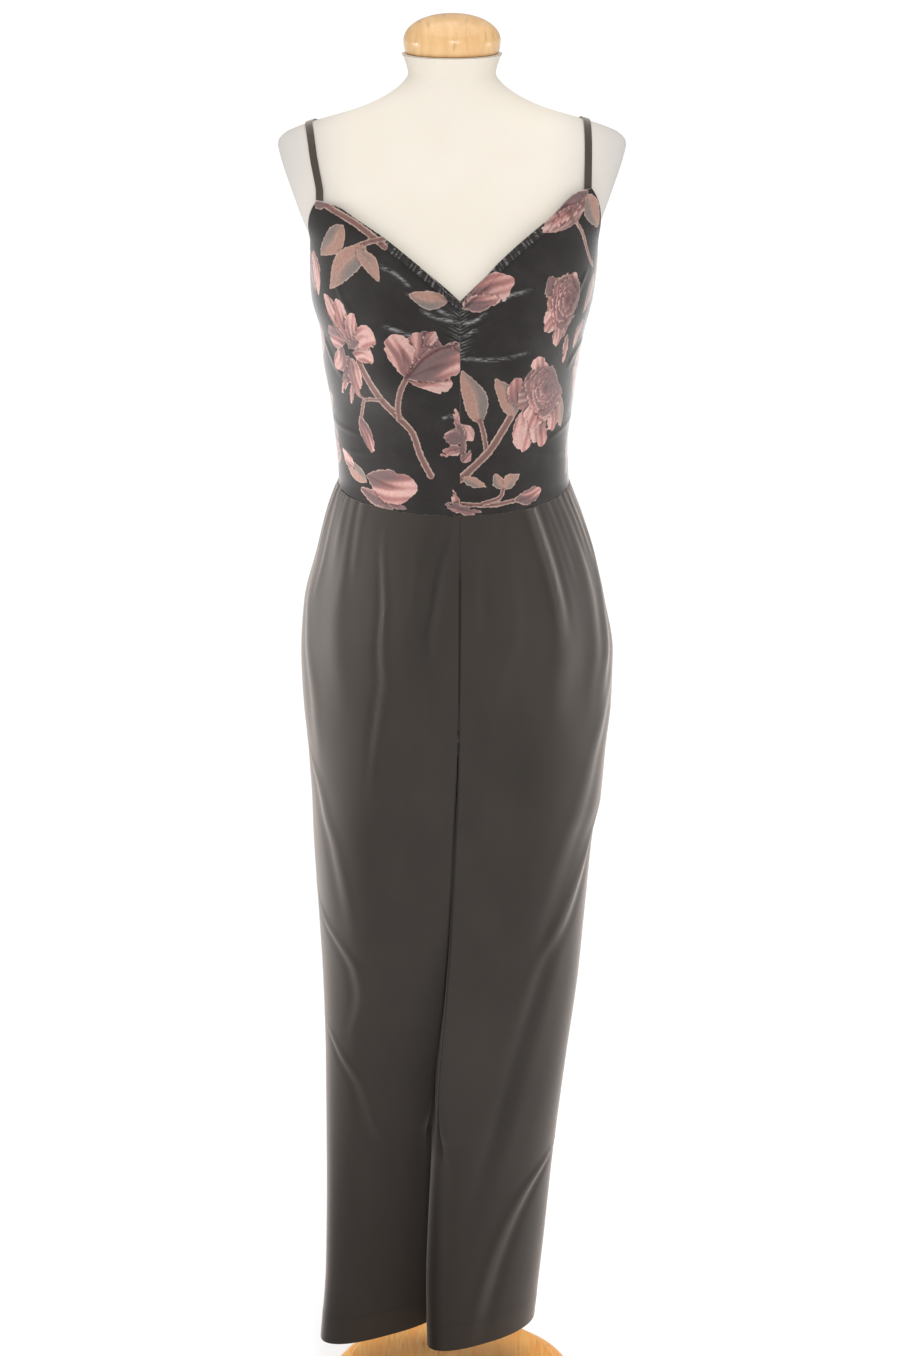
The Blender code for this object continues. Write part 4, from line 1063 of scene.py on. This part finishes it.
def leg_point(side, half, u, z):
    """A leg's section below the fork: u runs from the inner line round the front or back to the side seam."""
    sign = SIDES[side]
    ahead = 1 if half == "front" else -1
    outer = read(LEGS, side + "_outer", z)
    meet = read(PARTING, "inside", z) - sign * read(LEGS, "lap", z)
    extent = np.abs(outer - meet) / 2
    angle = 2 * QUARTER_TURN * (0.5 - np.abs(u) ** INNER_EASE * np.sign(u))
    power = np.where(angle > 0, read(LEGS, side + "_power", z), read(LEGS, "outer_power", z))
    inward, forward = ring(angle, power)
    dx = -sign * inward * extent
    dy = dx * np.tan(np.radians(read(LEGS, "slant", z))) - ahead * forward * read(LEGS, half, z)
    return np.stack([(outer + meet) / 2 + dx, read(LEGS, side + "_y", z) + dy, z + 0 * u], -1)


def fold_lift(side, half, u, z):
    """How far a quarter's folds, gathers, hem and seams stand out, and the painted highlight on its crests
    and painted shade in its troughs.
    """
    lift, crest = 0.0 * u, 0.0 * u
    for fold in FOLDS[half, side].split(","):
        width, out, beside, *way = numbers(fold)
        way = np.reshape(way, (-1, 2))[::-1]
        middle = read({"z": way[:, 1], "u": way[:, 0]}, "u", z)
        length = way[-1, 1] - way[0, 1]
        share = (way[-1, 1] - z) / length
        off = (u - middle) * QUARTER_WIDTH * 1000 / (FOLD_WIDTH * width)
        fade = smooth((share + 0.15) / 0.40) * smooth((1.18 - share) / 0.50)
        trough = beside * bell(off - 1.7, 1.1)
        lift = lift + FOLD_OUT * out * (bell(off, 1) - trough) * fade
        crest = crest + np.clip(out / 8, -0.8, 1) * (bell(off, 0.8) - 0.5 * trough) * fade
    start, stop, count, out, length = GATHERS[half, side]
    turns = (u - start) / (stop - start) * count
    inside = smooth(turns * 2) * smooth((count - turns) * 2)
    uneven = turns + 0.25 * np.sin(turns * 1.7 + 1)
    reach = length * (0.8 + 0.35 * np.sin(np.floor(turns) * 2.1 + 0.6))
    hem = HEM_OUT * smooth((HEM + HEM_DEPTH - z) / 0.002)
    seams = CENTRE_IN * bell(u * QUARTER_WIDTH, SEAM_WIDTH) * smooth((1.11 - z) / 0.03)
    seams = seams + SIDE_IN * bell((1 - u) * QUARTER_WIDTH, SEAM_WIDTH)
    gathered = wave(uneven) * inside * bell(np.clip(WAIST - z, 0, 1), reach)
    return lift + out * gathered + hem - seams, np.clip(crest + 0.15 * gathered, -1, 1)


def column(at):
    """Share across of a column of the grid; columns stand closer at the seams and the leg's inner fold."""
    return np.interp(at, COLUMNS["at"], COLUMNS["u"]) + np.minimum(at, 0) + np.maximum(at - 1, 0)


def row_height(v, top):
    """Height of a row of the grid: from hem to fork, then from fork to top."""
    share = np.clip((v - FORK_V) / (1 - FORK_V), 0, 2)
    return np.where(v < FORK_V, HEM + (FORK - HEM) * v / FORK_V, FORK + (top - FORK) * share)


def quarter_surface(side, half):
    """A trouser quarter: v runs from the hem up to the waist seam, u from the inner edge to the side seam."""
    edge_gap = SEAM / 20 / LEG_RADIUS

    def smooth_face(at, v):
        u = edge_gap + (1 - 2 * edge_gap) * column(at)
        z = row_height(v, (waist_at(QUARTER_TURN * u) if half == "front" else WAIST) - SEAM)
        folded = np.where(u < CORNER, CORNER_SHARE * u / CORNER,
                          CORNER_SHARE + (1 - CORNER_SHARE) * (u - CORNER) / (1 - CORNER))
        spread = smooth((z - FORK_TOP) / CORNER_RISE)
        angle = QUARTER_TURN * (folded + (u - folded) * spread)
        plan_angle = SIDES[side] * (angle if half == "front" else math.pi - angle)
        leg = leg_point(side, half, u, z)
        trunk = worn_point(plan_angle, z)
        down = np.clip((FORK_TOP - z) / (FORK_TOP - FORK), 0, 1)
        at_edge = 1 - np.sqrt(1 - down ** 2)
        thigh_top = FORK_TOP + (THIGH_TOP - FORK_TOP) * smooth((u - CORNER) / THIGH_BEND)
        at_thigh = smooth((thigh_top - z) / (thigh_top - THIGH_FOOT))
        beside = smooth(u / THIGH_SHARE)
        under = (at_edge * (1 - beside) + at_thigh * beside)[..., None]
        face = trunk * (1 - under) + leg * under
        inside, faces = read(PARTING, "inside", z), read(PARTING, "faces", z)
        depth = read(GARMENT, half, np.maximum(z, GARMENT["z"][0]))
        forward = smooth((np.abs(face[..., 1]) / depth - 0.08) / 0.55)
        face[..., 0] += (faces - inside) * forward * bell(face[..., 0] - inside, PARTING_WIDTH)
        return face

    def lift(at, v):
        return fold_lift(side, half, column(at), smooth_face(at, v)[..., 2])[0]

    return raised(smooth_face, lift, SIDES[side] if half == "front" else -SIDES[side])


def quarter_facts(side, half):
    """The flat place in the panel of a quarter's points, and the painted highlight on its crests and painted
    shade in its troughs.
    """
    def facts(at, v):
        u, z = column(at), row_height(v, WAIST)
        return {"panel": np.stack([u * QUARTER_WIDTH, z - HEM, 0 * u], -1),
                "crest": fold_lift(side, half, u, z)[1]}
    return facts


print("folds:", {" ".join(panel): len(rows.split(",")) for panel, rows in FOLDS.items()})


# %% The four trouser quarters
for half in ("front", "back"):
    for side in SIDES:
        surface = quarter_surface(side, half)
        outward = SIDES[side] if half == "front" else -SIDES[side]
        piece = cloth_wall("crepe_" + half + "_" + side, surface, 100, 228, CLOTH, outward,
                           quarter_facts(side, half), crisp=30)
        dress(piece, "trouser_" + half + "_" + side, charcoal_crepe)

# %% [markdown]
# The form is a padded shell pulled into a cream jersey cover. A sphere of rings is a quick start for such
# a closed shape: its rings are moved out to the form's sections, from the middle of the floor over the
# rounded bottom edge and up to the neck. A Subdivision Surface on the solid's own mesh would shrink its
# shoulders.

# %% The dress form's torso
FORM_RINGS = 190
FORM_SEGMENTS = 128
END_RINGS = 6
LIP_OUT = 0.025


def jersey_finish():
    f = Finish("cream_jersey", Specular_IOR_Level=0.1)
    place = f.place()
    knit = f.noise(f.place((1, 1, 0.6)), 1500, 2, 0.6)
    cloud = f.noise(place, 9, 2, 0.5)
    up = f.axis(place, "Z")
    # Painted shadow: a thin brown line round the neck's top edge, under the cap.
    rim = (up - (NECK_TOP - 0.0009)).within(0, 0.0003) * (1 - up.within(NECK_TOP - 0.0003, NECK_TOP))
    cream = f.mix(cloud.within(0.3, 0.7), (0.68, 0.626, 0.545, 1), (0.71, 0.657, 0.577, 1))
    cream = f.mix(knit.within(0.35, 0.75) * 0.30, cream, (0.62, 0.57, 0.50, 1))
    # Painted shade: the cream turns grey towards the shoulders.
    across = f.axis(place, "X")
    cream = f.mix(across.maths("ABSOLUTE", across).within(0.10, 0.195) * 0.90, cream, (0.49, 0.462, 0.445, 1))
    f.bump(knit, 0.0004, 0.35)
    return f.paint(Base_Color=f.mix(rim, cream, (0.26, 0.18, 0.125, 1)), Roughness=0.86 + 0.1 * knit)


bm = bmesh.new()
bmesh.ops.create_uvsphere(bm, u_segments=FORM_SEGMENTS, v_segments=FORM_RINGS, radius=1.0)
polar = np.array([math.acos(max(-1.0, min(1.0, -v.co.z))) for v in bm.verts])
angle = np.array([math.atan2(v.co.x, -v.co.y) for v in bm.verts])
row = np.round(polar / math.pi * FORM_RINGS)
share = np.clip((row - END_RINGS) / (FORM_RINGS - 2 * END_RINGS), 0, 1)
floor_z, top_z = FORM["z"][0], FORM["z"][-1]
height = floor_z + (top_z - floor_z) * share
ends = np.minimum(np.clip(row / END_RINGS, 0, 1), np.clip((FORM_RINGS - row) / END_RINGS, 0, 1))
skin = form_point(angle, height)
skin[:, :2] *= (ends * (1 + LIP_OUT * smooth((height - NECK_TOP) / 0.006 + 1)))[:, None]
for vert, co in zip(bm.verts, skin):
    vert.co = co
torso = dress(object_of(bm, "jersey_torso"), "form_torso", jersey_finish())
print("torso faces:", len(torso.data.polygons))

# %% [markdown]
# The neck cap, the pole and the base are turned wood. A lathe is a profile that is spun round, so a line
# of points is spun with the same result. The base is glued from boards, so its grain runs across it in
# one direction, with a fine light joint, and the varnish makes it glossy. The pole keeps its own solid.

# %% Turned wood
def wood_finish(name, light, deep, stretch, turn, joint=None, gloss=0.26, rings=34, coat=0.12):
    f = Finish(name, Specular_IOR_Level=0.35, Coat_Weight=coat, Coat_Roughness=0.08)
    place = f.place(stretch, turn)
    broad = f.noise(place, 1.0, 4, 0.55, 1.2)
    fine = f.noise(place, 7.0, 3, 0.65)
    growth = (broad * rings).sine() * 0.5 + 0.5
    colour = f.mix(growth * 0.55 + fine * 0.45, light, deep)
    colour = f.mix(fine.within(0.56, 0.74) * 0.5, colour, tuple(0.45 * c for c in deep[:3]) + (1,))
    if joint is not None:
        across = f.axis(f.place((1, 1, 1), turn), "X")
        off = (across - joint).maths("ABSOLUTE", across - joint)
        colour = f.mix((1 - off.within(0.0003, 0.0009)) * 0.55, colour, (0.85, 0.62, 0.38, 1))
        board = (across - joint).within(-0.0002, 0.0002)
        colour = f.mix(board * 0.25, colour, (0.36, 0.13, 0.03, 1))
    f.bump(fine, 0.0004, 0.08)
    return f.paint(Base_Color=colour, Roughness=gloss + 0.14 * fine)


def turned_wood(name, profile, sides, node, finish):
    """A solid turned about Z from (radius, height) points."""
    bm = bmesh.new()
    verts = [bm.verts.new((radius, 0, height)) for radius, height in profile]
    edges = [bm.edges.new(pair) for pair in zip(verts, verts[1:])]
    bmesh.ops.spin(bm, geom=verts + edges, cent=(0, 0, 0), axis=(0, 0, 1), angle=math.tau, steps=sides,
                   use_merge=True)
    bmesh.ops.remove_doubles(bm, verts=bm.verts[:], dist=1e-6)
    piece = dress(object_of(bm, name), node, finish)
    print(name, "faces:", len(piece.data.polygons))


honey = wood_finish("honey_wood", (1.0, 0.56, 0.15, 1), (1.0, 0.37, 0.045, 1), (42, 3.2, 42),
                    (0, 0, math.radians(7)), joint=-0.022, coat=0.2)
pale = wood_finish("pale_wood", (0.79, 0.54, 0.275, 1), (0.60, 0.350, 0.150, 1), (30, 6, 5),
                   (0, math.radians(8), 0), gloss=0.20, rings=16)

dome_foot = NECK_TOP + SEAM
shoulder = dome_foot + CAP_BELLY
dome = [(CAP_RADIUS * math.cos(t) ** 0.94, shoulder + (CAP_TOP - shoulder) * math.sin(t))
        for t in np.linspace(QUARTER_TURN, 0, 25)]
dome[0] = (0.0, CAP_TOP)
under = [(CAP_RADIUS - CAP_EASE * (1 - math.cos(t)), shoulder - CAP_BELLY * math.sin(t))
         for t in np.linspace(0, QUARTER_TURN, 9)[1:]]
turned_wood("neck_cap", dome + under + [(0.0, dome_foot)], 96, "form_neck_cap", pale)

TOP_EDGE, LOWER_EDGE, LIP, LOWER_RISE, TIER_IN = 0.004, 0.016, 0.004, 0.012, 0.024
tier = BASE_RADIUS - TIER_IN
edge = [(tier + TOP_EDGE * math.sin(t), BASE_HEIGHT - TOP_EDGE + TOP_EDGE * math.cos(t))
        for t in np.linspace(0, QUARTER_TURN, 9)]
round_over = [(BASE_RADIUS - LOWER_EDGE + LOWER_EDGE * math.sin(t), LIP + LOWER_RISE * math.cos(t))
              for t in np.linspace(0, QUARTER_TURN, 11)]
foot_ease = 0.001
turned_wood("base", [(0.0, BASE_HEIGHT)] + edge + [(tier + TOP_EDGE, LIP + LOWER_RISE + SEAM)] + round_over
            + [(BASE_RADIUS, foot_ease), (BASE_RADIUS - foot_ease, 0.0), (0.0, 0.0)], 160, "form_base", honey)

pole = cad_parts["form_pole"]
pole.data.materials.clear()
pole.data.materials.append(pale)
print("pole keeps its solid:", pole.name)

# %% [markdown]

# %% [markdown]
# A plain white studio: a pale floor in a bright surround, one wide soft light in front, a narrow beam from
# each side and a broad glow from the ceiling, so that the dark cloth shows its folds by long grey sheens.
# A picture of a studio could light it too, but lamps can be moved one by one until every fold reads.

# %% Floor, lights and camera
bm = bmesh.new()
bmesh.ops.create_grid(bm, x_segments=1, y_segments=1, size=30)
floor_mesh = bpy.data.meshes.new("studio_floor")
bm.to_mesh(floor_mesh)
bm.free()
floor = new_object("studio_floor", floor_mesh)
floor_finish = Finish("studio_white", Specular_IOR_Level=0.1, Roughness=0.9)
floor_finish.shader.inputs["Base Color"].default_value = (0.98, 0.98, 0.98, 1)
floor_mesh.materials.append(floor_finish.material)


def soft_light(name, place, aim, size, power, spread=180):
    lamp = bpy.data.lights.new(name, "AREA")
    lamp.spread = math.radians(spread)
    lamp.shape = "RECTANGLE"
    lamp.size, lamp.size_y = size
    lamp.energy = power
    made = new_object(name, lamp)
    made.location = place
    made.rotation_euler = (Vector(aim) - Vector(place)).to_track_quat("-Z", "Y").to_euler()


soft_light("left_window", (-2.6, 0.2, 1.1), (0, 0, 0.86), (0.7, 0.7), 5.0, 30)
soft_light("right_window", (2.6, 0.3, 1.1), (0, 0, 0.86), (0.7, 0.7), 2.4, 30)
soft_light("front_window", (0.5, -4.6, 2.9), (0, 0, 1.2), (1.4, 1.4), 104)

sky = bpy.data.lights.new("ceiling", "SUN")
sky.energy = 2.1
sky.angle = math.radians(80)
new_object("ceiling", sky).location = (0, 0.5, 4)

world = bpy.data.worlds.new("studio")
world.use_nodes = True
surround = world.node_tree.nodes["Background"].inputs
surround["Color"].default_value = (1, 1, 1, 1)
surround["Strength"].default_value = 0.43
bpy.context.scene.world = world
bpy.context.scene.view_settings.view_transform = "Standard"

LOOK_DOWN = 16.302
camera = new_object("camera", bpy.data.cameras.new("camera"))
camera.data.lens = 91.73
camera.data.sensor_width = 36.0
camera.location = (0.0, -3.905, 2.058)
camera.rotation_euler = (math.radians(90 - LOOK_DOWN), 0, 0)
bpy.context.scene.camera = camera
print("camera looks down by", LOOK_DOWN, "degrees from", tuple(camera.location))
